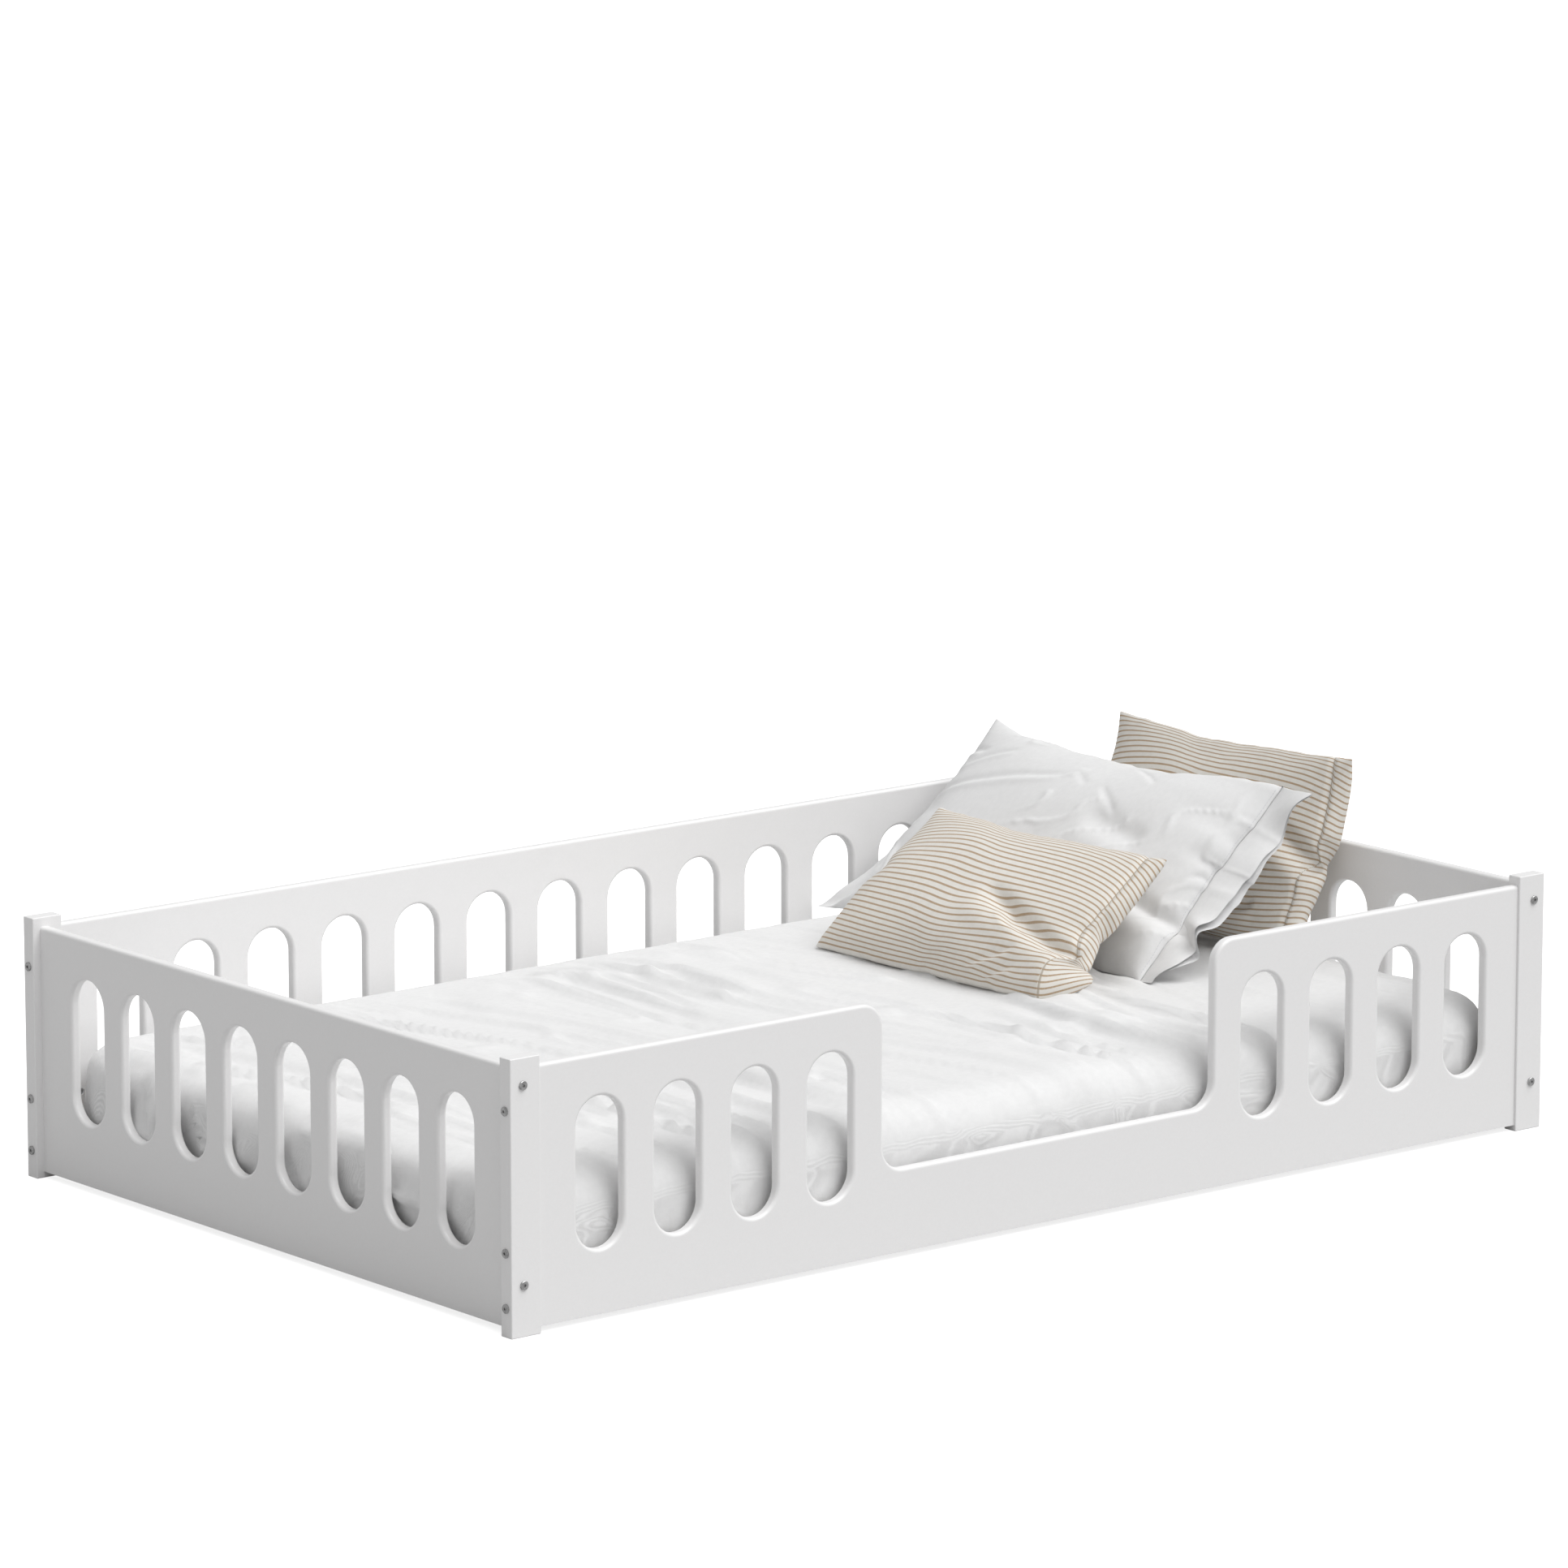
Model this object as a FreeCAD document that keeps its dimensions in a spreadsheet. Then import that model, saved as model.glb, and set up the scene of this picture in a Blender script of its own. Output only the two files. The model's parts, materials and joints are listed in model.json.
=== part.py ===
# Toddler floor bed: four posts, slotted board panels, a slatted base on ledgers and a
# centre beam, a mattress in a fitted sheet, and three pillows.
# Millimetres. +X runs from the foot end to the head end, the open side faces -Y, +Z is up.
# The origin is on the floor, in the middle of the four posts.
import FreeCAD, Part
import math
import os
import re

import Sketcher

V = FreeCAD.Vector
X_AXIS, Y_AXIS, Z_AXIS = V(1, 0, 0), V(0, 1, 0), V(0, 0, 1)

# name, value, what it is
SIZES = [
    ("bed_length", 2070, "outside of the posts, foot to head"),
    ("bed_width", 1257, "outside of the posts, front to back"),
    ("post_height", 417, "posts"),
    ("post_width", 54, "posts, along X"),
    ("post_depth", 26, "posts, along Y"),
    ("post_round", 1.6, "radius on every edge of a post"),
    ("board", 18, "thickness of the four panels"),
    ("panel_lift", 10, "lower edge of the panels above the floor"),
    ("panel_height", 392, "panels"),
    ("side_inset", 4, "outer face of a side panel in from the posts' face"),
    ("end_inset", 13.5, "outer face of an end panel in from the posts' face"),
    ("edge_round", 5.5, "radius round the slots, the entry and the top edges"),
    ("slot_width", 86.5, "slots, with half-round ends"),
    ("slot_height", 230, "slots"),
    ("slot_lift", 98, "slots above the panel's lower edge"),
    ("side_slots", 13, "slots along a full side panel"),
    ("side_slot_margin", 69.5, "side panel's end to its first slot"),
    ("end_slots", 8, "slots along an end panel"),
    ("end_slot_margin", 83, "end panel's end to its first slot"),
    ("entry_slots", 5, "slots that the entry takes the place of"),
    ("entry_sill", 129, "entry's sill above the panel's lower edge"),
    ("entry_round", 40, "radius of the entry's four corners"),
    ("side_bolt_low", 44, "bolts into a side panel, above the floor"),
    ("side_bolt_mid", 126.7, "the same"),
    ("side_bolt_high", 338.5, "the same"),
    ("end_bolt_low", 78, "bolts into an end panel, above the floor"),
    ("end_bolt_high", 376, "the same"),
    ("dowel_low", 85, "dowels of a side panel, above the floor"),
    ("dowel_high", 232, "the same"),
    ("end_dowel_low", 150, "dowels of an end panel, above the floor"),
    ("end_dowel_high", 300, "the same"),
    ("bolt_radius", 2.95, "M6 bolts"),
    ("bolt_bore", 3.5, "bore for a bolt"),
    ("bolt_tail", 10, "bolt past the middle of its barrel nut"),
    ("bolt_head_radius", 7, "flat bolt head"),
    ("bolt_head_height", 3, "flat bolt head"),
    ("hex_radius", 2.3, "hexagon socket, across corners, halved"),
    ("hex_depth", 2, "hexagon socket"),
    ("nut_setback", 35, "barrel nut in from the panel's end"),
    ("nut_radius", 5, "barrel nut"),
    ("nut_length", 14, "barrel nut"),
    ("nut_play", 0.1, "barrel nut in its bore"),
    ("nut_thread", 3, "threaded hole of a barrel nut"),
    ("nut_slot", 1.2, "screwdriver slot of a barrel nut"),
    ("dowel_radius", 4, "beech dowels"),
    ("dowel_in_panel", 18, "dowel's depth in a panel"),
    ("dowel_in_side", 14, "dowel's depth in a post, along X"),
    ("dowel_in_end", 12, "dowel's depth in a post, along Y"),
    ("dowel_play", 0.1, "dowel in its hole, all round"),
    ("ledger_depth", 25, "ledger strips"),
    ("ledger_height", 40, "ledger strips"),
    ("ledger_end_gap", 3, "ledger's end to the post"),
    ("ledger_screws", 7, "screws in a ledger"),
    ("ledger_screw_margin", 90, "ledger's end to its first screw"),
    ("rest_height", 62, "underside of the slats above the floor"),
    ("slat_count", 13, "slats"),
    ("slat_width", 80, "slats"),
    ("slat_thickness", 17, "slats"),
    ("slat_round", 3, "radius along a slat's long edges"),
    ("slat_side_gap", 3, "slat's end to the side panel"),
    ("slat_end_gap", 4, "first slat to the post"),
    ("tape_width", 25, "webbing tapes under the slats"),
    ("tape_thickness", 1, "the same"),
    ("tape_offset", 340, "tapes, from the middle of the bed"),
    ("beam_width", 45, "centre beam"),
    ("beam_height", 40, "centre beam"),
    ("beam_end_gap", 4, "beam's end to the end panel"),
    ("beam_feet", 3, "feet under the beam"),
    ("beam_foot_radius", 21, "feet under the beam"),
    ("beam_foot_pitch", 560, "feet under the beam, apart"),
    ("hanger_sheet", 2, "steel of the beam hangers"),
    ("hanger_reach", 34, "hangers, along the beam"),
    ("hanger_ear", 16, "hanger's screw ears, each side"),
    ("hanger_play", 0.3, "beam in its hanger, each side"),
    ("screw_radius", 2, "wood screws"),
    ("screw_head_radius", 3.9, "wood screws"),
    ("screw_head_height", 2.2, "wood screws, under the countersink"),
    ("screw_play", 0.1, "screw in its hole, all round"),
    ("ledger_screw_length", 34, "screws through a ledger"),
    ("slat_screw_length", 34, "screws through a slat"),
    ("hanger_screw_length", 15, "screws through a hanger"),
    ("foot_screw_length", 48, "screws through a beam foot"),
    ("mattress_height", 136, "foam core"),
    ("mattress_end_gap", 2, "sheeted mattress to an end panel"),
    ("mattress_side_gap", 5, "sheeted mattress to a side panel"),
    ("mattress_rest_gap", 0.3, "mattress over the slats"),
    ("mattress_corner", 45, "core's corner radius, from above"),
    ("mattress_round", 26, "radius along the core's edges"),
    ("cloth", 1.5, "sheet and pillow cases"),
    ("sheet_hem", 90, "sheet turned under the mattress"),
    ("case_hem", 58, "white case's open hem past its pillow"),
    ("case_hem_thickness", 7, "the hem's two layers, lying loose"),
    ("pillow_edge", 14, "pillows' thickness at the seams"),
    ("small_length", 548, "striped pillows, along Y"),
    ("small_height", 334, "striped pillows, up the slope"),
    ("small_thickness", 122, "striped pillows"),
    ("white_length", 742, "white pillow, along Y"),
    ("white_height", 404, "white pillow, up the slope"),
    ("white_thickness", 148, "white pillow"),
    ("pillow_rest_gap", 1.2, "pillows' lower edges over the mattress"),
    ("back_pillow_lean", 70, "degrees up from level"),
    ("back_pillow_gap", 20.6, "its fullest part to the head panel"),
    ("back_pillow_y", 54, "its middle, from the middle of the bed"),
    ("white_pillow_lean", 40.5, "degrees up from level"),
    ("white_pillow_gap", 11, "its top edge to the back pillow"),
    ("white_pillow_side_gap", 44, "its end to the back panel"),
    ("front_pillow_lean", 34.5, "degrees up from level"),
    ("front_pillow_gap", 72, "its top edge to the white pillow"),
    ("front_pillow_y", 74, "its middle, from the middle of the bed"),
]

doc = FreeCAD.newDocument("ToddlerBed")
sheet = doc.addObject("Spreadsheet::Sheet", "Sizes")
for row, (alias, value, note) in enumerate(SIZES, 1):
    sheet.set(f"A{row}", alias)
    sheet.set(f"B{row}", str(value))
    sheet.set(f"C{row}", note)
    sheet.setAlias(f"B{row}", alias)
doc.recompute()
size = {alias: value for alias, value, _ in SIZES}

# Formulas that more than one piece uses, in the sheet's names.
HALF_LENGTH = "bed_length / 2"
HALF_WIDTH = "bed_width / 2"
SIDE_PANEL = "(bed_length - 2 * post_width)"
END_PANEL = "(bed_width - 2 * post_depth)"
INNER_X = "(bed_length / 2 - end_inset - board)"  # middle of the bed to an end panel
INNER_Y = "(bed_width / 2 - side_inset - board)"  # middle of the bed to a side panel
SIDE_MIDDLE = "(bed_width / 2 - side_inset - board / 2)"  # middle of a side panel's board
END_MIDDLE = "(bed_length / 2 - end_inset - board / 2)"  # middle of an end panel's board
SLAT_TOP = "(rest_height + slat_thickness)"
MATTRESS_FLOOR = f"({SLAT_TOP} + mattress_rest_gap)"
MATTRESS_TOP = f"({MATTRESS_FLOOR} + mattress_height + 2 * cloth)"
SLAT_RUN = f"({SIDE_PANEL} - 2 * slat_end_gap - slat_width)"
LEDGER = f"({SIDE_PANEL} - 2 * ledger_end_gap)"
LEDGER_SCREW_RUN = f"({LEDGER} - 2 * ledger_screw_margin)"
FOOT_HEIGHT = "(rest_height - beam_height)"

CORNERS = {
    "foot_front": (-1, -1),
    "foot_back": (-1, 1),
    "head_front": (1, -1),
    "head_back": (1, 1),
}
SIDE_BOLTS = ("side_bolt_low", "side_bolt_mid", "side_bolt_high")
END_BOLTS = ("end_bolt_low", "end_bolt_high")
SIDE_DOWELS = ("dowel_low", "dowel_high")
END_DOWELS = ("end_dowel_low", "end_dowel_high")

NODES = []
gauge = doc.addObject("App::FeaturePython", "Gauge")
gauge.addProperty("App::PropertyFloat", "Reading")


# ---- small tools ----


def cells(formula):
    """A formula in the sheet's names, as FreeCAD writes it."""
    return re.sub(r"[a-z][a-z_]+", lambda m: "Sizes." * (m.group(0) in size) + m.group(0), str(formula))


def number(formula):
    """The same formula, worked out now, for a sketch's first shape."""
    gauge.setExpression("Reading", cells(formula))
    gauge.touch()
    gauge.recompute()
    return gauge.Reading


def bind(obj, **formulas):
    """Ties properties to the sheet; x, y and z are the placement's base."""
    places = {"x": "Placement.Base.x", "y": "Placement.Base.y", "z": "Placement.Base.z"}
    for name, formula in formulas.items():
        obj.setExpression(places.get(name, name), cells(formula))
    return obj


def turn(obj, axis, degrees):
    obj.Placement.Rotation = FreeCAD.Rotation(axis, degrees)
    return obj


def node(obj, label):
    """Marks an object as one of the bed's pieces, under its own name."""
    obj.Label = label
    NODES.append(obj)
    return obj


def box(name, **formulas):
    """A box with corner x, y, z and sizes Length (X), Width (Y), Height (Z)."""
    return bind(doc.addObject("Part::Box", name), **formulas)


def rod(name, axis, **formulas):
    """A cylinder that starts at x, y, z and points along axis."""
    cylinder = doc.addObject("Part::Cylinder", name)
    cylinder.Placement.Rotation = FreeCAD.Rotation(Z_AXIS, axis)
    return bind(cylinder, **formulas)


def fuse(name, parts):
    joined = doc.addObject("Part::MultiFuse", name)
    joined.Shapes = parts
    return joined


def cut(name, base, tools):
    less = doc.addObject("Part::Cut", name)
    less.Base = base
    less.Tool = tools[0] if len(tools) == 1 else fuse(name + "_tools", tools)
    return less


def link(name, target, axis, **formulas):
    """A copy of a fastener whose own +Z points along axis."""
    copy = doc.addObject("App::Link", name)
    copy.LinkedObject = target
    copy.Placement = FreeCAD.Placement(V(), FreeCAD.Rotation(Z_AXIS, axis))
    return bind(copy, **formulas)


def group(label, links):
    """Identical fasteners, as separate solids of one node."""
    compound = doc.addObject("Part::Compound", label)
    compound.Links = links
    return node(compound, label)


def origin(body, role):
    return next(f for f in body.Origin.OriginFeatures if f.Role == role)


def new_body(name):
    return doc.addObject("PartDesign::Body", name)


def new_sketch(body, name, role="XY_Plane"):
    sketch = body.newObject("Sketcher::SketchObject", name)
    sketch.AttachmentSupport = [(origin(body, role), "")]
    sketch.MapMode = "FlatFace"
    return sketch


def measure(sketch, kind, *args):
    """A dimension tied to a formula: the last argument."""
    *where, formula = args
    index = sketch.addConstraint(Sketcher.Constraint(kind, *where, number(formula)))
    sketch.setExpression(f"Constraints[{index}]", cells(formula))


def line(sketch, start, end):
    sketch.addGeometry(Part.LineSegment(V(*start, 0), V(*end, 0)), False)


def arc(sketch, centre, radius, start, end):
    circle = Part.Circle(V(*centre, 0), Z_AXIS, radius)
    sketch.addGeometry(Part.ArcOfCircle(circle, start, end), False)


def rectangle(sketch, width, height):
    """A rectangle from the sketch's origin, its sides tied to two formulas."""
    w, h = number(width), number(height)
    corners = [(0, 0), (w, 0), (w, h), (0, h)]
    for i in range(4):
        line(sketch, corners[i], corners[(i + 1) % 4])
    for i in range(4):
        sketch.addConstraint(Sketcher.Constraint("Coincident", i, 2, (i + 1) % 4, 1))
    for i, kind in enumerate(("Horizontal", "Vertical", "Horizontal", "Vertical")):
        sketch.addConstraint(Sketcher.Constraint(kind, i))
    sketch.addConstraint(Sketcher.Constraint("Coincident", 0, 1, -1, 1))
    measure(sketch, "DistanceX", 0, 1, 0, 2, width)
    measure(sketch, "DistanceY", 1, 1, 1, 2, height)


def pad(body, sketch, length, **switches):
    """Pads a sketch; switches are the pad's own settings, such as Reversed=True."""
    feature = body.newObject("PartDesign::Pad", sketch.Name + "_pad")
    feature.Profile = sketch
    for key, value in switches.items():
        setattr(feature, key, value)
    bind(feature, Length=length)
    doc.recompute()
    return feature


def round_edges(body, base, radius, wanted):
    """Fillets the edges of base that wanted(edge) picks."""
    picked = [f"Edge{i}" for i, e in enumerate(base.Shape.Edges, 1) if wanted(e)]
    feature = body.newObject("PartDesign::Fillet", body.Name + "_round")
    feature.Base = (base, picked)
    bind(feature, Radius=radius)
    body.Tip = feature
    doc.recompute()
    return feature


def rounded_bar(name, length, width, height, radius, wanted=lambda e: True):
    """A bar from its own origin, with rounded edges."""
    body = new_body(name)
    sketch = new_sketch(body, name + "_section")
    rectangle(sketch, length, width)
    round_edges(body, pad(body, sketch, height), radius, wanted)
    return body


# ---- fasteners, made once and copied ----


def make_bolt(name, length):
    """Flat-headed bolt: the head lies below its own origin and the shank runs up +Z."""
    head = rod(name + "_head", Z_AXIS, Radius="bolt_head_radius", Height="bolt_head_height",
               z="-bolt_head_height")
    rim = doc.addObject("Part::Chamfer", name + "_rim")
    rim.Base = head
    doc.recompute()
    lowest = [i for i, e in enumerate(head.Shape.Edges, 1)
              if e.BoundBox.ZMax < head.Placement.Base.z + 1e-6]
    rim.Edges = [(i, size["bolt_head_height"] / 4, size["bolt_head_height"] / 4) for i in lowest]
    shank = rod(name + "_shank", Z_AXIS, Radius="bolt_radius", Height=length)
    hexagon = doc.addObject("Part::Prism", name + "_socket")
    bind(hexagon, Circumradius="hex_radius", Height="hex_depth", z="-bolt_head_height")
    return cut(name, fuse(name + "_blank", [rim, shank]), [hexagon])


def make_barrel_nut():
    """Barrel nut along +Z from its origin; its thread crosses it along X at half its length."""
    barrel = rod("NutBarrel", Z_AXIS, Radius="nut_radius", Height="nut_length")
    thread = rod("NutThread", X_AXIS, Radius="nut_thread", Height="2 * nut_radius + 2",
                 x="-nut_radius - 1", z="nut_length / 2")
    slot = box("NutSlot", Length="2 * nut_radius + 2", Width="nut_slot", Height="nut_slot",
               x="-nut_radius - 1", y="-nut_slot / 2", z="-nut_slot / 10")
    return cut("BarrelNut", barrel, [thread, slot])


def make_screw(name, length):
    """Countersunk wood screw: head flush with its origin, pointing up +Z."""
    head = doc.addObject("Part::Cone", name + "_head")
    bind(head, Radius1="screw_head_radius", Radius2="screw_radius", Height="screw_head_height")
    shank = rod(name + "_shank", Z_AXIS, Radius="screw_radius", Height=f"{length} - 4")
    tip = doc.addObject("Part::Cone", name + "_tip")
    tip.Radius2 = 0
    bind(tip, Radius1="screw_radius", Height=4, z=f"{length} - 4")
    drive = doc.addObject("Part::Prism", name + "_drive")
    bind(drive, Circumradius="screw_radius", Height="screw_head_height / 2")
    return cut(name, fuse(name + "_blank", [head, shank, tip]), [drive])


def screw_hole(name, axis, depth, sink, **place):
    """The room for a screw whose head is flush at x, y, z, as cutting tools."""
    hole = rod(name, axis, Radius="screw_radius + screw_play", Height=depth, **place)
    if not sink:
        return [hole]
    countersink = doc.addObject("Part::Cone", name + "_sink")
    countersink.Placement.Rotation = FreeCAD.Rotation(Z_AXIS, axis)
    bind(countersink, Radius1="screw_head_radius + screw_play",
         Radius2="screw_radius + screw_play", Height="screw_head_height", **place)
    return [hole, countersink]


# ---- posts ----


def make_post(corner, sx, sy):
    """A post of one corner: its bolts pass through it, and its dowels stop inside it."""
    body = rounded_bar(corner + "_bar", "post_width", "post_depth", "post_height", "post_round")
    bind(body, x=f"{sx} * ({HALF_LENGTH} - post_width / 2) - post_width / 2",
         y=f"{sy} * ({HALF_WIDTH} - post_depth / 2) - post_depth / 2")
    outside_x, outside_y = f"{sx} * ({HALF_LENGTH} + 1)", f"{sy} * ({HALF_WIDTH} + 1)"
    tools = []
    for i, level in enumerate(SIDE_BOLTS):
        tools.append(rod(f"{corner}_side_bore_{i}", V(-sx, 0, 0), Radius="bolt_bore",
                         Height="post_width + 2", x=outside_x, y=f"{sy} * {SIDE_MIDDLE}", z=level))
    for i, level in enumerate(END_BOLTS):
        tools.append(rod(f"{corner}_end_bore_{i}", V(0, -sy, 0), Radius="bolt_bore",
                         Height="post_depth + 2", x=f"{sx} * {END_MIDDLE}", y=outside_y, z=level))
    for i, level in enumerate(SIDE_DOWELS):
        tools.append(rod(f"{corner}_side_peg_{i}", V(sx, 0, 0),
                         Radius="dowel_radius + dowel_play",
                         Height="dowel_in_side + dowel_play + 1",
                         x=f"{sx} * ({HALF_LENGTH} - post_width - 1)",
                         y=f"{sy} * {SIDE_MIDDLE}", z=level))
    for i, level in enumerate(END_DOWELS):
        tools.append(rod(f"{corner}_end_peg_{i}", V(0, sy, 0),
                         Radius="dowel_radius + dowel_play",
                         Height="dowel_in_end + dowel_play + 1", x=f"{sx} * {END_MIDDLE}",
                         y=f"{sy} * ({HALF_WIDTH} - post_depth - 1)", z=level))
    node(cut(corner + "_drilled", body, tools), corner + "_post")


# ---- panels ----
# A panel is made lying along its own +X, with its outer face at y = 0 and its lower edge at
# z = 0, and is then turned to its side of the bed.


def slot_sketch(body, margin):
    """The first slot: two straight sides with half-round ends, margin in from the panel's end."""
    sketch = new_sketch(body, body.Name + "_slot", "XZ_Plane")
    radius = number("slot_width / 2")
    x = number(f"{margin} + slot_width / 2")
    low = number("slot_lift + slot_width / 2")
    high = number("slot_lift + slot_height - slot_width / 2")
    arc(sketch, (x, high), radius, 0, math.pi)
    line(sketch, (x - radius, high), (x - radius, low))
    arc(sketch, (x, low), radius, math.pi, 2 * math.pi)
    line(sketch, (x + radius, low), (x + radius, high))
    for first, end, second, start in ((0, 2, 1, 1), (1, 2, 2, 1), (2, 2, 3, 1), (3, 2, 0, 1)):
        sketch.addConstraint(Sketcher.Constraint("Tangent", first, end, second, start))
    sketch.addConstraint(Sketcher.Constraint("Vertical", 1))
    measure(sketch, "DistanceX", 1, 1, 3, 2, "slot_width")
    measure(sketch, "DistanceY", 2, 3, 0, 3, "slot_height - slot_width")
    measure(sketch, "DistanceX", -1, 1, 2, 3, f"{margin} + slot_width / 2")
    measure(sketch, "DistanceY", -1, 1, 2, 3, "slot_lift + slot_width / 2")
    return sketch


def through_pocket(body, sketch):
    pocket = body.newObject("PartDesign::Pocket", sketch.Name + "_cut")
    pocket.Profile = sketch
    pocket.Type = "ThroughAll"
    pocket.Midplane = True
    doc.recompute()
    return pocket


def repeat(body, feature, length, count, name):
    """A row of the same cut along the panel, the first and the last length apart."""
    row = body.newObject("PartDesign::LinearPattern", name)
    row.Originals = [feature]
    row.Direction = (origin(body, "X_Axis"), [""])
    bind(row, Length=length, Occurrences=count)
    body.Tip = row
    doc.recompute()
    return row


def board_blank(name, length):
    body = new_body(name)
    outline = new_sketch(body, name + "_outline", "XZ_Plane")
    rectangle(outline, length, "panel_height")
    pad(body, outline, "board", Reversed=True)
    return body


def is_face_edge(edge):
    """True on an edge that lies in one of a panel's two faces, above its lower edge."""
    return edge.BoundBox.YLength < 1e-6 and edge.BoundBox.ZMin > 1e-3


def drill_ends(name, body, length, bolts, dowels):
    """Bolt bores, barrel nut bores and dowel holes at both ends of a panel."""
    tools = []
    for side, end, inwards in (("a", "0", 1), ("b", length, -1)):
        for i, level in enumerate(bolts):
            z = f"{level} - panel_lift"
            tools.append(rod(f"{name}_{side}_bore_{i}", V(inwards, 0, 0), Radius="bolt_bore",
                             Height="nut_setback + bolt_tail + 3",
                             x=f"{end} - {inwards}", y="board / 2", z=z))
            tools.append(rod(f"{name}_{side}_nut_{i}", V(0, -1, 0),
                             Radius="nut_radius + nut_play",
                             Height="(board + nut_length) / 2 + 1",
                             x=f"{end} + {inwards} * nut_setback", y="board + 1", z=z))
        for i, level in enumerate(dowels):
            tools.append(rod(f"{name}_{side}_peg_{i}", V(inwards, 0, 0),
                             Radius="dowel_radius + dowel_play",
                             Height="dowel_in_panel + dowel_play + 1",
                             x=f"{end} - {inwards}", y="board / 2",
                             z=f"{level} - panel_lift"))
    return cut(name + "_drilled", body, tools)


def make_side_panel(name, entry):
    """A long panel; with entry, the middle slots give way to the child's way in."""
    body = board_blank(name, SIDE_PANEL)
    run = f"({SIDE_PANEL} - 2 * side_slot_margin - slot_width)"
    step = f"({run} / (side_slots - 1))"
    if entry:
        kept = int((size["side_slots"] - size["entry_slots"]) / 2)
        first = through_pocket(body, slot_sketch(body, "side_slot_margin"))
        repeat(body, first, f"{step} * {kept - 1}", kept, name + "_foot_slots")
        far = f"({SIDE_PANEL} - side_slot_margin - slot_width - {step} * {kept - 1})"
        second_sketch = slot_sketch(body, far)
        second = through_pocket(body, second_sketch)
        slots = repeat(body, second, f"{step} * {kept - 1}", kept, name + "_head_slots")
        last = cut_entry(body, slots, step, kept)
    else:
        first = through_pocket(body, slot_sketch(body, "side_slot_margin"))
        last = repeat(body, first, run, "side_slots", name + "_slots")
    round_edges(body, last, "edge_round", is_face_edge)
    return drill_ends(name, body, SIDE_PANEL, SIDE_BOLTS, SIDE_DOWELS)


def cut_entry(body, base, step, kept):
    """The entry: from one web past the last slot on each side, down to the sill, corners rounded."""
    left = f"(side_slot_margin + {step} * {kept})"
    sketch = new_sketch(body, body.Name + "_entry", "XZ_Plane")
    low, high = number("entry_sill"), number("panel_height") + 20
    x0, x1 = number(left), number(f"{SIDE_PANEL} - {left}")
    corners = [(x0, low), (x1, low), (x1, high), (x0, high)]
    for i in range(4):
        line(sketch, corners[i], corners[(i + 1) % 4])
    for i in range(4):
        sketch.addConstraint(Sketcher.Constraint("Coincident", i, 2, (i + 1) % 4, 1))
    for i, kind in enumerate(("Horizontal", "Vertical", "Horizontal", "Vertical")):
        sketch.addConstraint(Sketcher.Constraint(kind, i))
    measure(sketch, "DistanceX", -1, 1, 0, 1, left)
    measure(sketch, "DistanceX", 0, 1, 0, 2, f"{SIDE_PANEL} - 2 * {left}")
    measure(sketch, "DistanceY", -1, 1, 0, 1, "entry_sill")
    measure(sketch, "DistanceY", 1, 1, 1, 2, "panel_height + 20 - entry_sill")
    pocket = through_pocket(body, sketch)
    along_board = [f"Edge{i}" for i, e in enumerate(pocket.Shape.Edges, 1)
                   if e.BoundBox.XLength < 1e-6 and e.BoundBox.ZLength < 1e-6
                   and x0 - 1 < e.BoundBox.XMin < x1 + 1]
    corner = body.newObject("PartDesign::Fillet", body.Name + "_entry_corners")
    corner.Base = (pocket, along_board)
    bind(corner, Radius="entry_round")
    body.Tip = corner
    doc.recompute()
    return corner


def make_end_panel(name):
    body = board_blank(name, END_PANEL)
    first = through_pocket(body, slot_sketch(body, "end_slot_margin"))
    run = f"({END_PANEL} - 2 * end_slot_margin - slot_width)"
    last = repeat(body, first, run, "end_slots", name + "_slots")
    round_edges(body, last, "edge_round", is_face_edge)
    return drill_ends(name, body, END_PANEL, END_BOLTS, END_DOWELS)


def side_panel_pilots(name):
    """Ledger screws, in the panel's own frame: they enter its inner face and stop in the board."""
    holes = []
    middle = f"{SIDE_PANEL} / 2"
    for i in range(size["ledger_screws"]):
        share = f"({i} / (ledger_screws - 1) - 0.5)"
        holes += screw_hole(f"{name}_pilot_{i}", V(0, -1, 0),
                            "ledger_screw_length - ledger_depth + 1.5", False,
                            x=f"{middle} + {share} * {LEDGER_SCREW_RUN}", y="board + 0.5",
                            z="rest_height - ledger_height / 2 - panel_lift")
    return holes


def hanger_screw_places():
    """Offsets of a hanger's four screws: across the beam and above the floor."""
    across = "(beam_width / 2 + hanger_play + hanger_sheet + hanger_ear / 2)"
    low, high = "(rest_height - beam_height * 0.75)", "(rest_height - beam_height * 0.25)"
    return [(f"{s} * {across}", z) for s in (-1, 1) for z in (low, high)]


def end_panel_pilots(name):
    """Beam hanger screws, in the panel's own frame."""
    holes = []
    for i, (across, z) in enumerate(hanger_screw_places()):
        holes += screw_hole(f"{name}_pilot_{i}", V(0, -1, 0), "hanger_screw_length + 1", True,
                            x=f"{END_PANEL} / 2 + {across}", y="board + hanger_sheet",
                            z=f"{z} - panel_lift")
    return holes


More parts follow.
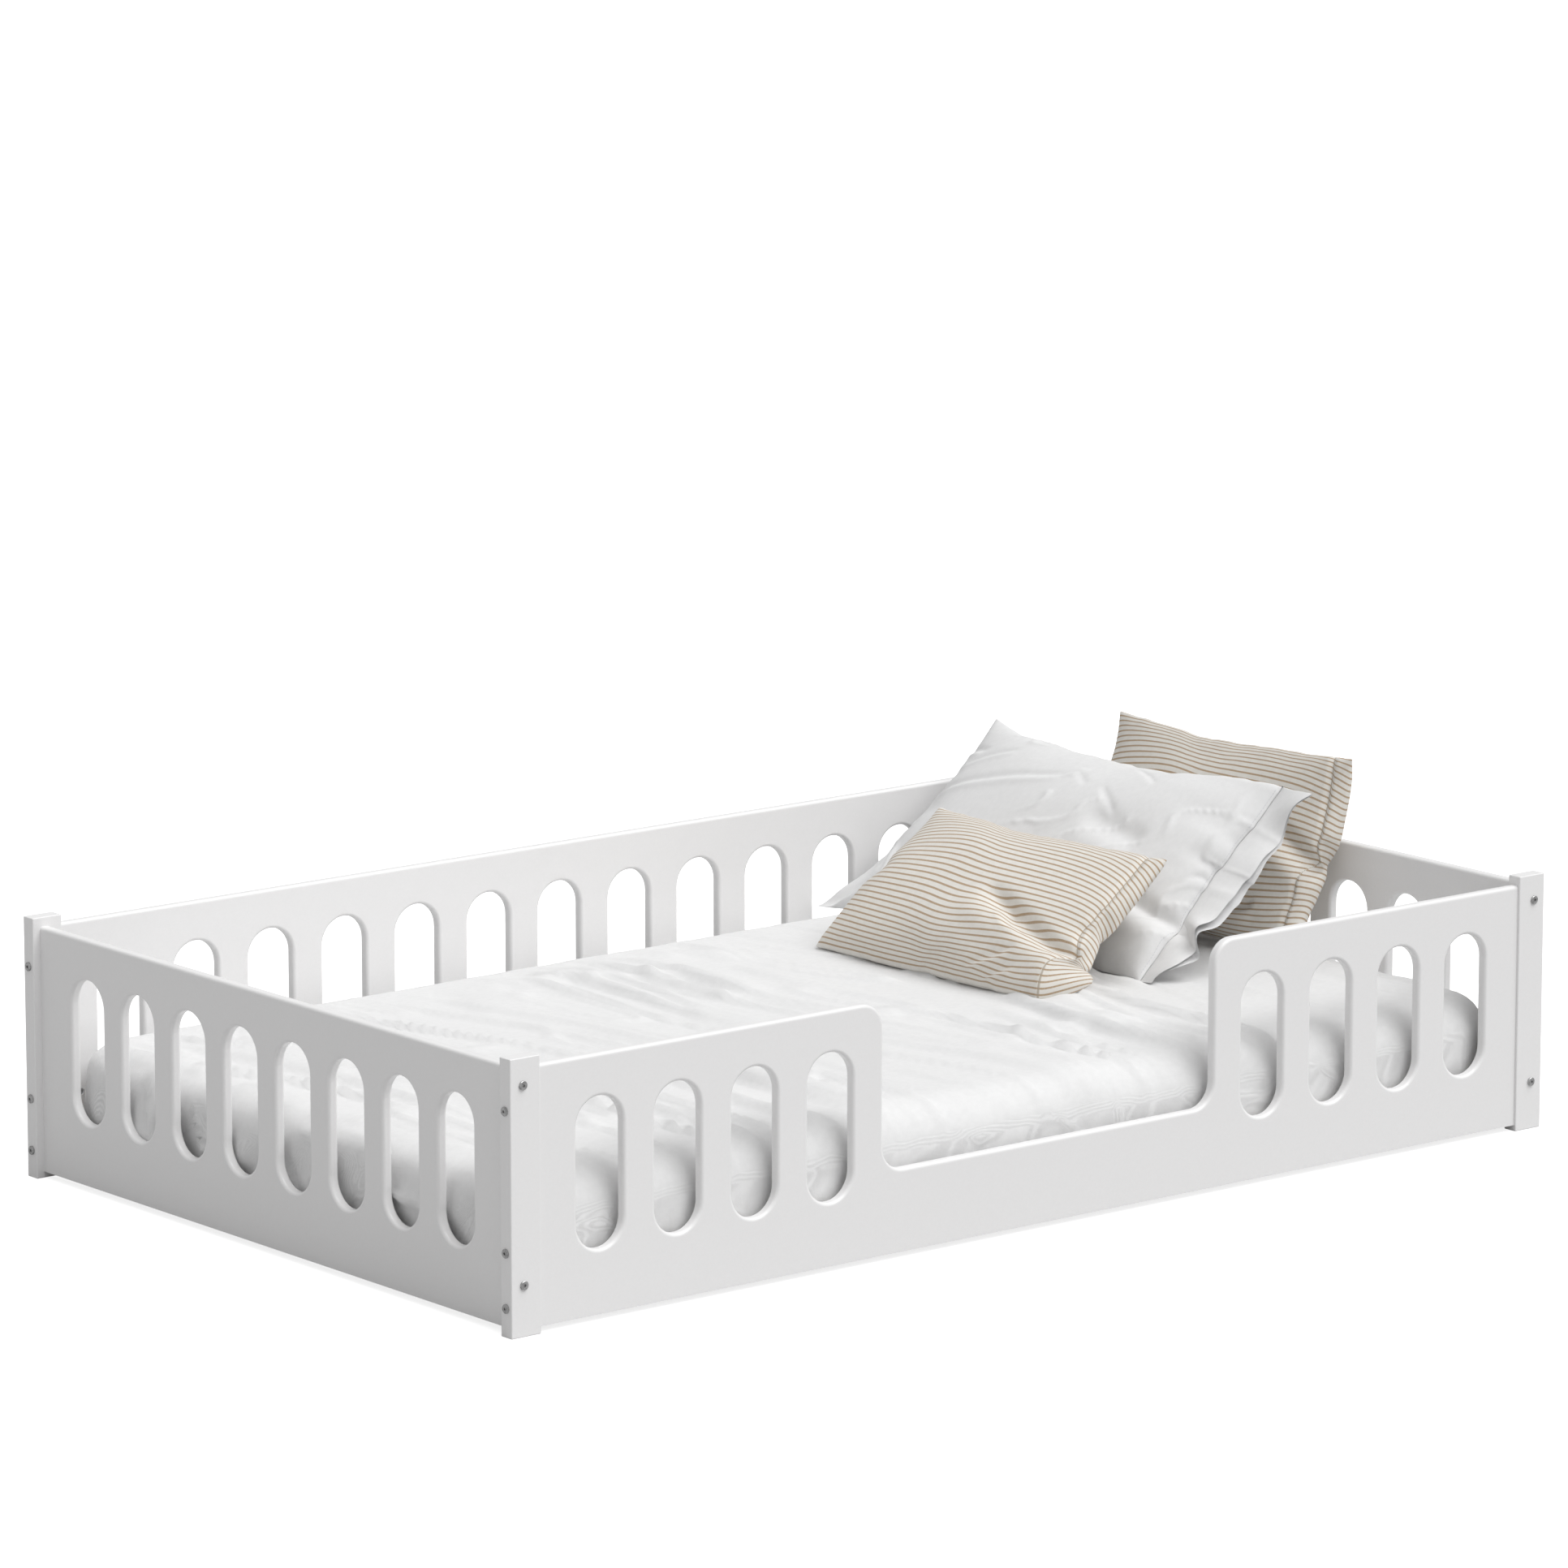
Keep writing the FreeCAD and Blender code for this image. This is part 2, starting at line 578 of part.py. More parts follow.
def place_panels():
    """Pilot holes go into the inner faces, then each panel is turned to its side of the bed."""
    front = cut("FrontPanel", make_side_panel("FrontBoard", True), side_panel_pilots("FrontBoard"))
    back = cut("BackPanel", make_side_panel("BackBoard", False), side_panel_pilots("BackBoard"))
    foot = cut("FootPanel", make_end_panel("FootBoard"), end_panel_pilots("FootBoard"))
    head = cut("HeadPanel", make_end_panel("HeadBoard"), end_panel_pilots("HeadBoard"))
    for panel, degrees in ((back, 180), (foot, -90), (head, 90)):
        turn(panel, Z_AXIS, degrees)
    bind(front, x=f"-{SIDE_PANEL} / 2", y=f"-{HALF_WIDTH} + side_inset", z="panel_lift")
    bind(back, x=f"{SIDE_PANEL} / 2", y=f"{HALF_WIDTH} - side_inset", z="panel_lift")
    bind(foot, x=f"-{HALF_LENGTH} + end_inset", y=f"{END_PANEL} / 2", z="panel_lift")
    bind(head, x=f"{HALF_LENGTH} - end_inset", y=f"-{END_PANEL} / 2", z="panel_lift")
    node(front, "front_panel")
    node(back, "back_panel")
    node(foot, "foot_end_panel")
    node(head, "head_end_panel")


# ---- bolts, nuts and dowels of a corner ----


def place_corner(corner, sx, sy, side_bolt, end_bolt, nut):
    bolts, nuts, dowels = [], [], []
    for i, level in enumerate(SIDE_BOLTS):
        bolts.append(link(f"{corner}_side_bolt_{i}", side_bolt, V(-sx, 0, 0),
                          x=f"{sx} * {HALF_LENGTH}", y=f"{sy} * {SIDE_MIDDLE}", z=level))
        nuts.append(link(f"{corner}_side_nut_{i}", nut, V(0, sy, 0),
                         x=f"{sx} * ({HALF_LENGTH} - post_width - nut_setback)",
                         y=f"{sy} * ({INNER_Y} + (board - nut_length) / 2)", z=level))
    for i, level in enumerate(END_BOLTS):
        bolts.append(link(f"{corner}_end_bolt_{i}", end_bolt, V(0, -sy, 0),
                          x=f"{sx} * {END_MIDDLE}", y=f"{sy} * {HALF_WIDTH}", z=level))
        turned = link(f"{corner}_end_nut_{i}", nut, Z_AXIS,
                      x=f"{sx} * ({INNER_X} + (board - nut_length) / 2)",
                      y=f"{sy} * ({HALF_WIDTH} - post_depth - nut_setback)", z=level)
        # its own +Z along X and its thread along Y
        turned.Placement.Rotation = FreeCAD.Rotation(V(0, 1, 0), V(0, 0, 1), V(sx, 0, 0), "ZXY")
        nuts.append(turned)
    for i, level in enumerate(SIDE_DOWELS):
        dowels.append(rod(f"{corner}_side_dowel_{i}", V(-sx, 0, 0), Radius="dowel_radius",
                          Height="dowel_in_side + dowel_in_panel",
                          x=f"{sx} * ({HALF_LENGTH} - post_width + dowel_in_side)",
                          y=f"{sy} * {SIDE_MIDDLE}", z=level))
    for i, level in enumerate(END_DOWELS):
        dowels.append(rod(f"{corner}_end_dowel_{i}", V(0, -sy, 0), Radius="dowel_radius",
                          Height="dowel_in_end + dowel_in_panel", x=f"{sx} * {END_MIDDLE}",
                          y=f"{sy} * ({HALF_WIDTH} - post_depth + dowel_in_end)", z=level))
    group(corner + "_bolts", bolts)
    group(corner + "_barrel_nuts", nuts)
    group(corner + "_dowels", dowels)


# ---- slatted base ----


def slat_offset(i):
    """A slat's middle, from the middle of the bed."""
    return f"({i} / (slat_count - 1) - 0.5) * {SLAT_RUN}"


def slat_screw_y():
    return f"({INNER_Y} - ledger_depth / 2)"


def make_slat(i):
    name = f"Slat{i + 1}"
    body = rounded_bar(name, "slat_width", f"2 * ({INNER_Y} - slat_side_gap)", "slat_thickness",
                       "slat_round", lambda e: e.BoundBox.YLength > 100)
    bind(body, x=f"{slat_offset(i)} - slat_width / 2", y=f"-{INNER_Y} + slat_side_gap",
         z="rest_height")
    tools = []
    for s in (-1, 1):
        tools += screw_hole(f"{name}_hole_{s + 1}", -Z_AXIS, "slat_thickness + 1", True,
                            x=slat_offset(i), y=f"{s} * {slat_screw_y()}", z=SLAT_TOP)
    node(cut(name + "_drilled", body, tools), f"slat_{i + 1:02d}")


def make_ledger(name, label, s):
    """A ledger along one side panel, drilled for its own screws and for the slats'."""
    body = rounded_bar(name, LEDGER, "ledger_depth", "ledger_height", "slat_round / 2",
                       lambda e: e.BoundBox.XLength > 100)
    inner = f"({INNER_Y} - ledger_depth)"
    bind(body, x=f"-{LEDGER} / 2", y=f"{s} * ({INNER_Y} - ledger_depth / 2) - ledger_depth / 2",
         z="rest_height - ledger_height")
    tools, screws = [], []
    for i in range(size["ledger_screws"]):
        share = f"({i} / (ledger_screws - 1) - 0.5)"
        place = {"x": f"{share} * {LEDGER_SCREW_RUN}", "y": f"{s} * {inner}",
                 "z": "rest_height - ledger_height / 2"}
        tools += screw_hole(f"{name}_hole_{i}", V(0, s, 0), "ledger_depth + 1", True, **place)
        screws.append(link(f"{name}_screw_{i}", ledger_screw, V(0, s, 0), **place))
    for i in range(size["slat_count"]):
        tools += screw_hole(f"{name}_slat_hole_{i}", -Z_AXIS,
                            "slat_screw_length - slat_thickness + 1.5", False,
                            x=slat_offset(i), y=f"{s} * {slat_screw_y()}",
                            z="rest_height + 0.5")
    node(cut(name + "_drilled", body, tools), label)
    group(label + "_screws", screws)


def make_slat_screws():
    links = [link(f"SlatScrew_{i}_{s + 1}", slat_screw, -Z_AXIS, x=slat_offset(i),
                  y=f"{s} * {slat_screw_y()}", z=SLAT_TOP)
             for i in range(size["slat_count"]) for s in (-1, 1)]
    group("slat_screws", links)


def make_tape(label, s):
    length = f"({SLAT_RUN} + slat_width)"
    node(box(label, Length=length, Width="tape_width", Height="tape_thickness",
             x=f"-{length} / 2", y=f"{s} * tape_offset - tape_width / 2",
             z="rest_height - tape_thickness"), label)


# ---- centre beam ----


def foot_x(i):
    return f"({i} - (beam_feet - 1) / 2) * beam_foot_pitch"


def make_beam():
    length = f"(2 * ({INNER_X} - beam_end_gap))"
    body = rounded_bar("Beam", length, "beam_width", "beam_height", "slat_round / 2",
                       lambda e: e.BoundBox.XLength > 100)
    bind(body, x=f"-{length} / 2", y="-beam_width / 2", z="rest_height - beam_height")
    holes = []
    for i in range(size["beam_feet"]):
        holes += screw_hole(f"Beam_hole_{i}", Z_AXIS,
                            f"foot_screw_length - {FOOT_HEIGHT} + 3", False,
                            x=foot_x(i), z=f"{FOOT_HEIGHT} - 0.5")
    node(cut("Beam_drilled", body, holes), "centre_beam")


def make_beam_feet():
    """Round feet under the beam, each held by one screw sunk into its underside."""
    screws = []
    for i in range(size["beam_feet"]):
        body = new_body(f"BeamFoot{i + 1}")
        sketch = new_sketch(body, body.Name + "_round_section")
        sketch.addGeometry(Part.Circle(V(), Z_AXIS, size["beam_foot_radius"]), False)
        sketch.addConstraint(Sketcher.Constraint("Coincident", 0, 3, -1, 1))
        measure(sketch, "Radius", 0, "beam_foot_radius")
        disc = pad(body, sketch, FOOT_HEIGHT)
        round_edges(body, disc, "post_round", lambda e: e.BoundBox.ZLength < 1e-6)
        bind(body, x=foot_x(i))
        hole = screw_hole(f"BeamFoot_hole_{i}", Z_AXIS, f"{FOOT_HEIGHT} + 1", True, x=foot_x(i),
                          z="screw_play")
        mouth = rod(f"BeamFoot_mouth_{i}", Z_AXIS, Radius="screw_head_radius + screw_play",
                    Height="screw_play", x=foot_x(i))
        node(cut(f"BeamFoot{i + 1}_drilled", body, hole + [mouth]), f"centre_foot_{i + 1}")
        screws.append(link(f"BeamFoot_screw_{i}", foot_screw, Z_AXIS, x=foot_x(i),
                           z="screw_play"))
    group("centre_foot_screws", screws)


def make_hanger(label, s):
    """A folded steel hanger: a back plate on the end panel, and a cradle that holds the beam."""
    half = "(beam_width / 2 + hanger_play)"
    plate_half = f"({half} + hanger_sheet + hanger_ear)"
    low = "(rest_height - beam_height - hanger_sheet)"

    def sheet_box(part, length, inner, y, width, z, height):
        """A piece of the folded sheet, inner millimetres from the end panel."""
        return box(f"{label}_{part}", Length=length, Width=width, Height=height,
                   x=f"{s} * ({INNER_X} - {inner} - ({length}) / 2) - ({length}) / 2", y=y, z=z)

    parts = [
        sheet_box("plate", "hanger_sheet", "0", f"-{plate_half}", f"2 * {plate_half}", low,
                  "beam_height + hanger_sheet - slat_round"),
        sheet_box("floor", "hanger_reach", "0", f"-{half} - hanger_sheet",
                  f"2 * ({half} + hanger_sheet)", low, "hanger_sheet"),
        sheet_box("cheek_a", "hanger_reach", "0", f"-{half} - hanger_sheet", "hanger_sheet", low,
                  "beam_height * 0.8"),
        sheet_box("cheek_b", "hanger_reach", "0", half, "hanger_sheet", low,
                  "beam_height * 0.8"),
    ]
    tools, screws = [], []
    for i, (across, z) in enumerate(hanger_screw_places()):
        place = {"x": f"{s} * ({INNER_X} - hanger_sheet)", "y": across, "z": z}
        tools += screw_hole(f"{label}_hole_{i}", V(s, 0, 0), "hanger_sheet + 1", True, **place)
        screws.append(link(f"{label}_screw_{i}", hanger_screw, V(s, 0, 0), **place))
    node(cut(label + "_drilled", fuse(label + "_folded", parts), tools), label)
    return screws


# ---- mattress and pillows ----


def rounded_block(name, length, width, height, corner, edge):
    """A block centred on its own Z axis, standing on z = 0, with round corners and edges."""
    body = new_body(name)
    sketch = new_sketch(body, name + "_plan")
    rectangle(sketch, length, width)
    block = pad(body, sketch, height)
    upright = round_edges(body, block, corner, lambda e: e.BoundBox.ZLength > 1)
    round_edges(body, upright, edge, lambda e: e.BoundBox.ZLength < 1e-6)
    return bind(body, x=f"-({length}) / 2", y=f"-({width}) / 2")


def make_mattress():
    length = f"(2 * ({INNER_X} - mattress_end_gap - cloth))"
    width = f"(2 * ({INNER_Y} - mattress_side_gap - cloth))"
    core = rounded_block("MattressCore", length, width, "mattress_height", "mattress_corner",
                         "mattress_round")
    bind(core, z=f"{MATTRESS_FLOOR} + cloth")
    node(core, "mattress_core")
    outer = rounded_block("SheetOutside", f"({length} + 2 * cloth)", f"({width} + 2 * cloth)",
                          "mattress_height + 2 * cloth", "mattress_corner + cloth",
                          "mattress_round + cloth")
    bind(outer, z=MATTRESS_FLOOR)
    mouth = box("SheetMouth", Length=f"{length} - 2 * sheet_hem", Width=f"{width} - 2 * sheet_hem",
                Height="3 * cloth", x=f"-{length} / 2 + sheet_hem", y=f"-{width} / 2 + sheet_hem",
                z=f"{MATTRESS_FLOOR} - cloth")
    node(cut("SheetShell", outer, [core, mouth]), "fitted_sheet")


def lens_prism(name, role, chord, thickness, edge, depth):
    """A lens section, edge thick at both ends of its chord, padded both ways from its plane."""
    body = new_body(name)
    sketch = new_sketch(body, name + "_lens", role)
    bow = f"(({chord}) ^ 2 / 4 + ({thickness} - {edge}) ^ 2 / 4) / ({thickness} - {edge})"
    half, rise, flat = number(f"({chord}) / 2"), number(f"({thickness}) / 2"), number(f"({edge}) / 2")
    radius = number(bow)
    swing = math.asin(half / radius)
    up, down = math.pi / 2, 3 * math.pi / 2
    arc(sketch, (0, rise - radius), radius, up - swing, up + swing)
    arc(sketch, (0, radius - rise), radius, down - swing, down + swing)
    line(sketch, (-half, -flat), (-half, flat))
    line(sketch, (half, -flat), (half, flat))
    for curve, end, side, meets in ((0, 1, 3, 2), (0, 2, 2, 2), (1, 1, 2, 1), (1, 2, 3, 1)):
        sketch.addConstraint(Sketcher.Constraint("Coincident", curve, end, side, meets))
    for first, end, second, meets, axis in ((2, 1, 2, 2, -1), (3, 1, 3, 2, -1), (2, 1, 3, 1, -2)):
        sketch.addConstraint(Sketcher.Constraint("Symmetric", first, end, second, meets, axis))
    measure(sketch, "DistanceX", 2, 1, 3, 1, chord)
    measure(sketch, "DistanceY", 2, 1, 2, 2, edge)
    measure(sketch, "Radius", 0, bow)
    measure(sketch, "Radius", 1, bow)
    pad(body, sketch, depth, Midplane=True)
    return body


def cushion(name, length, height, thickness, edge):
    """A pillow lying flat about its own origin: length along Y, height along X."""
    both = doc.addObject("Part::Common", name)
    both.Base = lens_prism(name + "_up", "XZ_Plane", height, thickness, edge, length)
    both.Tool = lens_prism(name + "_along", "YZ_Plane", length, thickness, edge, height)
    return both


def lean(label):
    return f"({label}_lean * 1 deg)"


def pillow_z(label, kind):
    """Its middle: the lower edge is a small gap over the mattress."""
    return (f"({MATTRESS_TOP} + pillow_rest_gap + ({kind}_height / 2 + cloth) * sin{lean(label)}"
            f" + (pillow_edge / 2 + cloth) * cos{lean(label)})")


def leaning_x(label, kind, behind, behind_kind, behind_x):
    """Its middle, where its top edge is a gap in front of the face of the pillow behind it."""
    top = f"({pillow_z(label, kind)} + {kind}_height / 2 * sin{lean(label)})"
    axis_there = f"({behind_x} + ({top} - {pillow_z(behind, behind_kind)}) / tan{lean(behind)})"
    face = f"({axis_there} - ({behind_kind}_thickness / 2 + cloth) / sin{lean(behind)})"
    return f"({face} - {label}_gap - ({kind}_height / 2 + cloth) * cos{lean(label)})"


def make_pillow(label, kind, x, y):
    """A filled pillow and its case, leaning back towards the head end."""
    dims = (f"{kind}_length", f"{kind}_height", f"{kind}_thickness", "pillow_edge")
    filling = cushion(label + "_filling_lens", *dims)
    case = cushion(label + "_case_lens", *(f"({d} + 2 * cloth)" for d in dims))
    if kind == "white":
        hem = box(label + "_hem", Length="white_height", Width="case_hem + 4 * cloth",
                  Height="case_hem_thickness", x="-white_height / 2",
                  y="-white_length / 2 - case_hem - cloth", z="-case_hem_thickness / 2")
        case = fuse(label + "_case_hemmed", [case, hem])
    shell = cut(label + "_case_shell", case, [filling])
    for piece, part in ((filling, "filling"), (shell, "case")):
        placed = doc.addObject("Part::Compound", f"{label}_{part}_placed")
        placed.Links = [piece]
        placed.Placement.Rotation = FreeCAD.Rotation(-Y_AXIS, size[label + "_lean"])
        placed.setExpression("Placement.Rotation.Angle", cells(lean(label)))
        bind(placed, x=x, y=y, z=pillow_z(label, kind))
        node(placed, f"{label}_{part}")


def make_pillows():
    """The back pillow leans on the head panel, and each other pillow on the one behind it."""
    back_x = f"({INNER_X} - back_pillow_gap - (small_thickness / 2 + cloth) * sin{lean('back_pillow')})"
    white_x = leaning_x("white_pillow", "white", "back_pillow", "small", back_x)
    front_x = leaning_x("front_pillow", "small", "white_pillow", "white", white_x)
    white_y = f"({INNER_Y} - white_pillow_side_gap - white_length / 2 - cloth)"
    make_pillow("back_pillow", "small", back_x, "back_pillow_y")
    make_pillow("white_pillow", "white", white_x, white_y)
    make_pillow("front_pillow", "small", front_x, "front_pillow_y")


# ---- the bed ----

side_bolt = make_bolt("SideBolt", "post_width + nut_setback + bolt_tail")
end_bolt = make_bolt("EndBolt", "post_depth + nut_setback + bolt_tail")
barrel_nut = make_barrel_nut()
ledger_screw = make_screw("LedgerScrew", "ledger_screw_length")
slat_screw = make_screw("SlatScrew", "slat_screw_length")
hanger_screw = make_screw("HangerScrew", "hanger_screw_length")
foot_screw = make_screw("FootScrew", "foot_screw_length")

for corner, (sx, sy) in CORNERS.items():
    make_post(corner, sx, sy)
    place_corner(corner, sx, sy, side_bolt, end_bolt, barrel_nut)
place_panels()
make_ledger("FrontLedger", "front_ledger", -1)
make_ledger("BackLedger", "back_ledger", 1)
for i in range(size["slat_count"]):
    make_slat(i)
make_slat_screws()
make_tape("front_webbing_tape", -1)
make_tape("back_webbing_tape", 1)
make_beam()
make_beam_feet()
group("hanger_screws", make_hanger("foot_beam_hanger", -1) + make_hanger("head_beam_hanger", 1))
make_mattress()
make_pillows()
doc.recompute()

# ---- checks and export ----

failed = [o.Name for o in doc.Objects if {"Invalid", "Error"} & set(o.State)]
failed += [n.Label for n in NODES if n.Shape.isNull() or not n.Shape.isValid()]
if failed:
    raise SystemExit(f"these objects failed: {failed}")
os.makedirs("parts", exist_ok=True)
for piece in NODES:
    piece.Shape.exportStep(f"parts/{piece.Label}.step")
print(len(NODES), "pieces written")
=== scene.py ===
import json
import math
import bpy
import numpy as np
from mathutils import Matrix, Vector


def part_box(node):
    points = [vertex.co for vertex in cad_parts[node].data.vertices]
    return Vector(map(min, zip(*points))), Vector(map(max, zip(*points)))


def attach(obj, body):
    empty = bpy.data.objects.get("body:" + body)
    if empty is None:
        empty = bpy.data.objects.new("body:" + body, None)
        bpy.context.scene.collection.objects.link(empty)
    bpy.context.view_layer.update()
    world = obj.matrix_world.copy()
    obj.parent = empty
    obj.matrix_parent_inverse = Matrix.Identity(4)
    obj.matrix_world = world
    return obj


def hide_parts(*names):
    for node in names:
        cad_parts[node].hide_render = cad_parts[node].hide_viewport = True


# Toddler floor bed: white slotted frame, wrinkled fitted sheet, three pillows.
# Metres; +X is the head end, -Y the open front side, +Z up.

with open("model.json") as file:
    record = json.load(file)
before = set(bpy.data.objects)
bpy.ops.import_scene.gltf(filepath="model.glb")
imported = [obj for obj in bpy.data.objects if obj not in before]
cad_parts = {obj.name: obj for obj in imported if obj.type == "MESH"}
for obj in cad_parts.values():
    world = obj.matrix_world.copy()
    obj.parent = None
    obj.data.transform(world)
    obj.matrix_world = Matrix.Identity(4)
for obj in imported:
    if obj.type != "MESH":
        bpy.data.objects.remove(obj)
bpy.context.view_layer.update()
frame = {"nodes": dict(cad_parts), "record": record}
nodes = frame["nodes"]


# noise on arrays: heights between -1 and 1 at whole numbers, joined by a smooth quintic step
def softNoise(x, y, seed):
    table = np.random.default_rng(seed).random((128, 128)) * 2 - 1
    column, row = np.floor(x).astype(int), np.floor(y).astype(int)
    across, along = x - column, y - row
    across = across ** 3 * (across * (across * 6 - 15) + 10)
    along = along ** 3 * (along * (along * 6 - 15) + 10)
    def corner(i, j):
        return table[(column + i) % 128, (row + j) % 128]
    near = corner(0, 0) * (1 - across) + corner(1, 0) * across
    far = corner(0, 1) * (1 - across) + corner(1, 1) * across
    return near * (1 - along) + far * along


# 0 below low, 1 above high, smooth between
def ramp(value, low, high):
    t = np.clip((value - low) / (high - low), 0, 1)
    return t * t * (3 - 2 * t)


# 1 at distance 0, falling off as the power of e to minus the square of distance over width
def bell(distance, width):
    return np.exp(-(distance / width) ** 2)


def meshObject(name, points, faces, uv=None, smooth=True):
    mesh = bpy.data.meshes.new(name)
    mesh.from_pydata(points.tolist(), [], faces.tolist())
    if uv is not None:
        layer = mesh.uv_layers.new(name="cloth")
        corners = np.zeros(len(mesh.loops), int)
        mesh.loops.foreach_get("vertex_index", corners)
        layer.data.foreach_set("uv", uv[corners].astype(np.float32).ravel())
    mesh.polygons.foreach_set("use_smooth", np.full(len(mesh.polygons), smooth))
    mesh.update()
    thing = bpy.data.objects.new(name, mesh)
    bpy.context.scene.collection.objects.link(thing)
    return thing


# quads between neighbouring rows and columns of a grid of point numbers
def gridFaces(numbers, flip=False):
    a, b = numbers[:-1, :-1].ravel(), numbers[1:, :-1].ravel()
    c, d = numbers[1:, 1:].ravel(), numbers[:-1, 1:].ravel()
    return np.stack([a, d, c, b] if flip else [a, b, c, d], axis=1)


def newGroup(name, inputs, outputs):
    tree = bpy.data.node_groups.new(name, "ShaderNodeTree")
    for label, kind, value in inputs:
        socket = tree.interface.new_socket(name=label, in_out="INPUT", socket_type=kind)
        if value is not None:
            socket.default_value = value
    for label, kind in outputs:
        tree.interface.new_socket(name=label, in_out="OUTPUT", socket_type=kind)
    return tree, tree.nodes.new("NodeGroupInput"), tree.nodes.new("NodeGroupOutput")


# sets a node's inputs, called by name or as i and a number: values are written on them, sockets are linked
def feed(tree, node, **sockets):
    for label, value in sockets.items():
        numbered = label[0] == "i" and label[1:].isdigit()
        socket = node.inputs[int(label[1:]) if numbered else label.replace("_", " ")]
        if isinstance(value, bpy.types.NodeSocket):
            tree.links.new(value, socket)
        else:
            socket.default_value = value
    return node


def math2(tree, operation, first, second=0.0):
    node = tree.nodes.new("ShaderNodeMath")
    node.operation = operation
    return feed(tree, node, i0=first, i1=second).outputs[0]


def mapRange(tree, value, low, high, toLow, toHigh):
    node = tree.nodes.new("ShaderNodeMapRange")
    node.interpolation_type = "SMOOTHSTEP"
    return feed(tree, node, Value=value, From_Min=low, From_Max=high, To_Min=toLow, To_Max=toHigh).outputs["Result"]


def mixColour(tree, share, first, second):
    node = tree.nodes.new("ShaderNodeMix")
    node.data_type = "RGBA"
    return feed(tree, node, i0=share, i6=first, i7=second).outputs[2]


def noiseFactor(tree, vector, scale, detail=2.0, rough=0.5):
    node = tree.nodes.new("ShaderNodeTexNoise")
    return feed(tree, node, Vector=vector, Scale=scale, Detail=detail, Roughness=rough).outputs["Fac"]


# sprayed lacquer: fine orange peel, a slow swell, and a faint change of tone
def makeLacquerGroup():
    tree, source, result = newGroup(
        "lacquerSpray",
        [("Vector", "NodeSocketVector", None), ("Colour", "NodeSocketColor", (0.85, 0.85, 0.84, 1)),
         ("Peel", "NodeSocketFloat", 1.0), ("Tone", "NodeSocketFloat", 0.02)],
        [("Colour", "NodeSocketColor"), ("Roughness", "NodeSocketFloat"), ("Height", "NodeSocketFloat")])
    vector = source.outputs["Vector"]
    peel = noiseFactor(tree, vector, 700.0, 2.0)
    swell = noiseFactor(tree, vector, 22.0, 1.0)
    speck = noiseFactor(tree, vector, 260.0, 3.0, 0.6)
    tone = math2(tree, "MULTIPLY", math2(tree, "SUBTRACT", speck, 0.5), source.outputs["Tone"])
    bright = tree.nodes.new("ShaderNodeHueSaturation")
    feed(tree, bright, Color=source.outputs["Colour"], Value=math2(tree, "ADD", tone, 1.0))
    height = math2(tree, "ADD", math2(tree, "MULTIPLY", peel, source.outputs["Peel"]),
                   math2(tree, "MULTIPLY", swell, 2.0))
    tree.links.new(bright.outputs["Color"], result.inputs["Colour"])
    tree.links.new(mapRange(tree, swell, 0.2, 0.8, 0.30, 0.40), result.inputs["Roughness"])
    tree.links.new(height, result.inputs["Height"])
    return tree


# planed wood: growth rings cut by a plane, streaked along the grain, with fine pores
def makeWoodGroup():
    tree, source, result = newGroup(
        "woodGrain",
        [("Vector", "NodeSocketVector", None), ("Light", "NodeSocketColor", (0.8, 0.65, 0.45, 1)),
         ("Dark", "NodeSocketColor", (0.6, 0.42, 0.25, 1)), ("Rings", "NodeSocketFloat", 60.0),
         ("Pores", "NodeSocketFloat", 0.4)],
        [("Colour", "NodeSocketColor"), ("Roughness", "NodeSocketFloat"), ("Height", "NodeSocketFloat")])
    split = tree.nodes.new("ShaderNodeSeparateXYZ")
    tree.links.new(source.outputs["Vector"], split.inputs[0])
    stretched = tree.nodes.new("ShaderNodeCombineXYZ")  # x is along the grain
    feed(tree, stretched, X=math2(tree, "MULTIPLY", split.outputs["X"], 0.06), Y=split.outputs["Y"],
         Z=split.outputs["Z"])
    bend = noiseFactor(tree, stretched.outputs[0], 14.0, 2.0)
    distance = math2(tree, "ADD", math2(tree, "MULTIPLY", split.outputs["Y"], source.outputs["Rings"]),
                     math2(tree, "MULTIPLY", bend, 9.0))
    ring = math2(tree, "FRACT", distance)
    late = mapRange(tree, ring, 0.45, 0.95, 0.0, 1.0)
    early = mapRange(tree, ring, 0.0, 0.10, 1.0, 0.0)
    band = math2(tree, "MULTIPLY", math2(tree, "MAXIMUM", late, early), 0.75)
    streak = noiseFactor(tree, stretched.outputs[0], 420.0, 3.0)
    pore = mapRange(tree, streak, 0.60, 0.72, 0.0, 1.0)
    dark = math2(tree, "ADD", band, math2(tree, "MULTIPLY", pore, source.outputs["Pores"]))
    colour = mixColour(tree, math2(tree, "MINIMUM", dark, 1.0), source.outputs["Light"], source.outputs["Dark"])
    tree.links.new(colour, result.inputs["Colour"])
    tree.links.new(mapRange(tree, band, 0.0, 1.0, 0.62, 0.48), result.inputs["Roughness"])
    tree.links.new(math2(tree, "SUBTRACT", math2(tree, "MULTIPLY", band, 0.5), pore), result.inputs["Height"])
    return tree


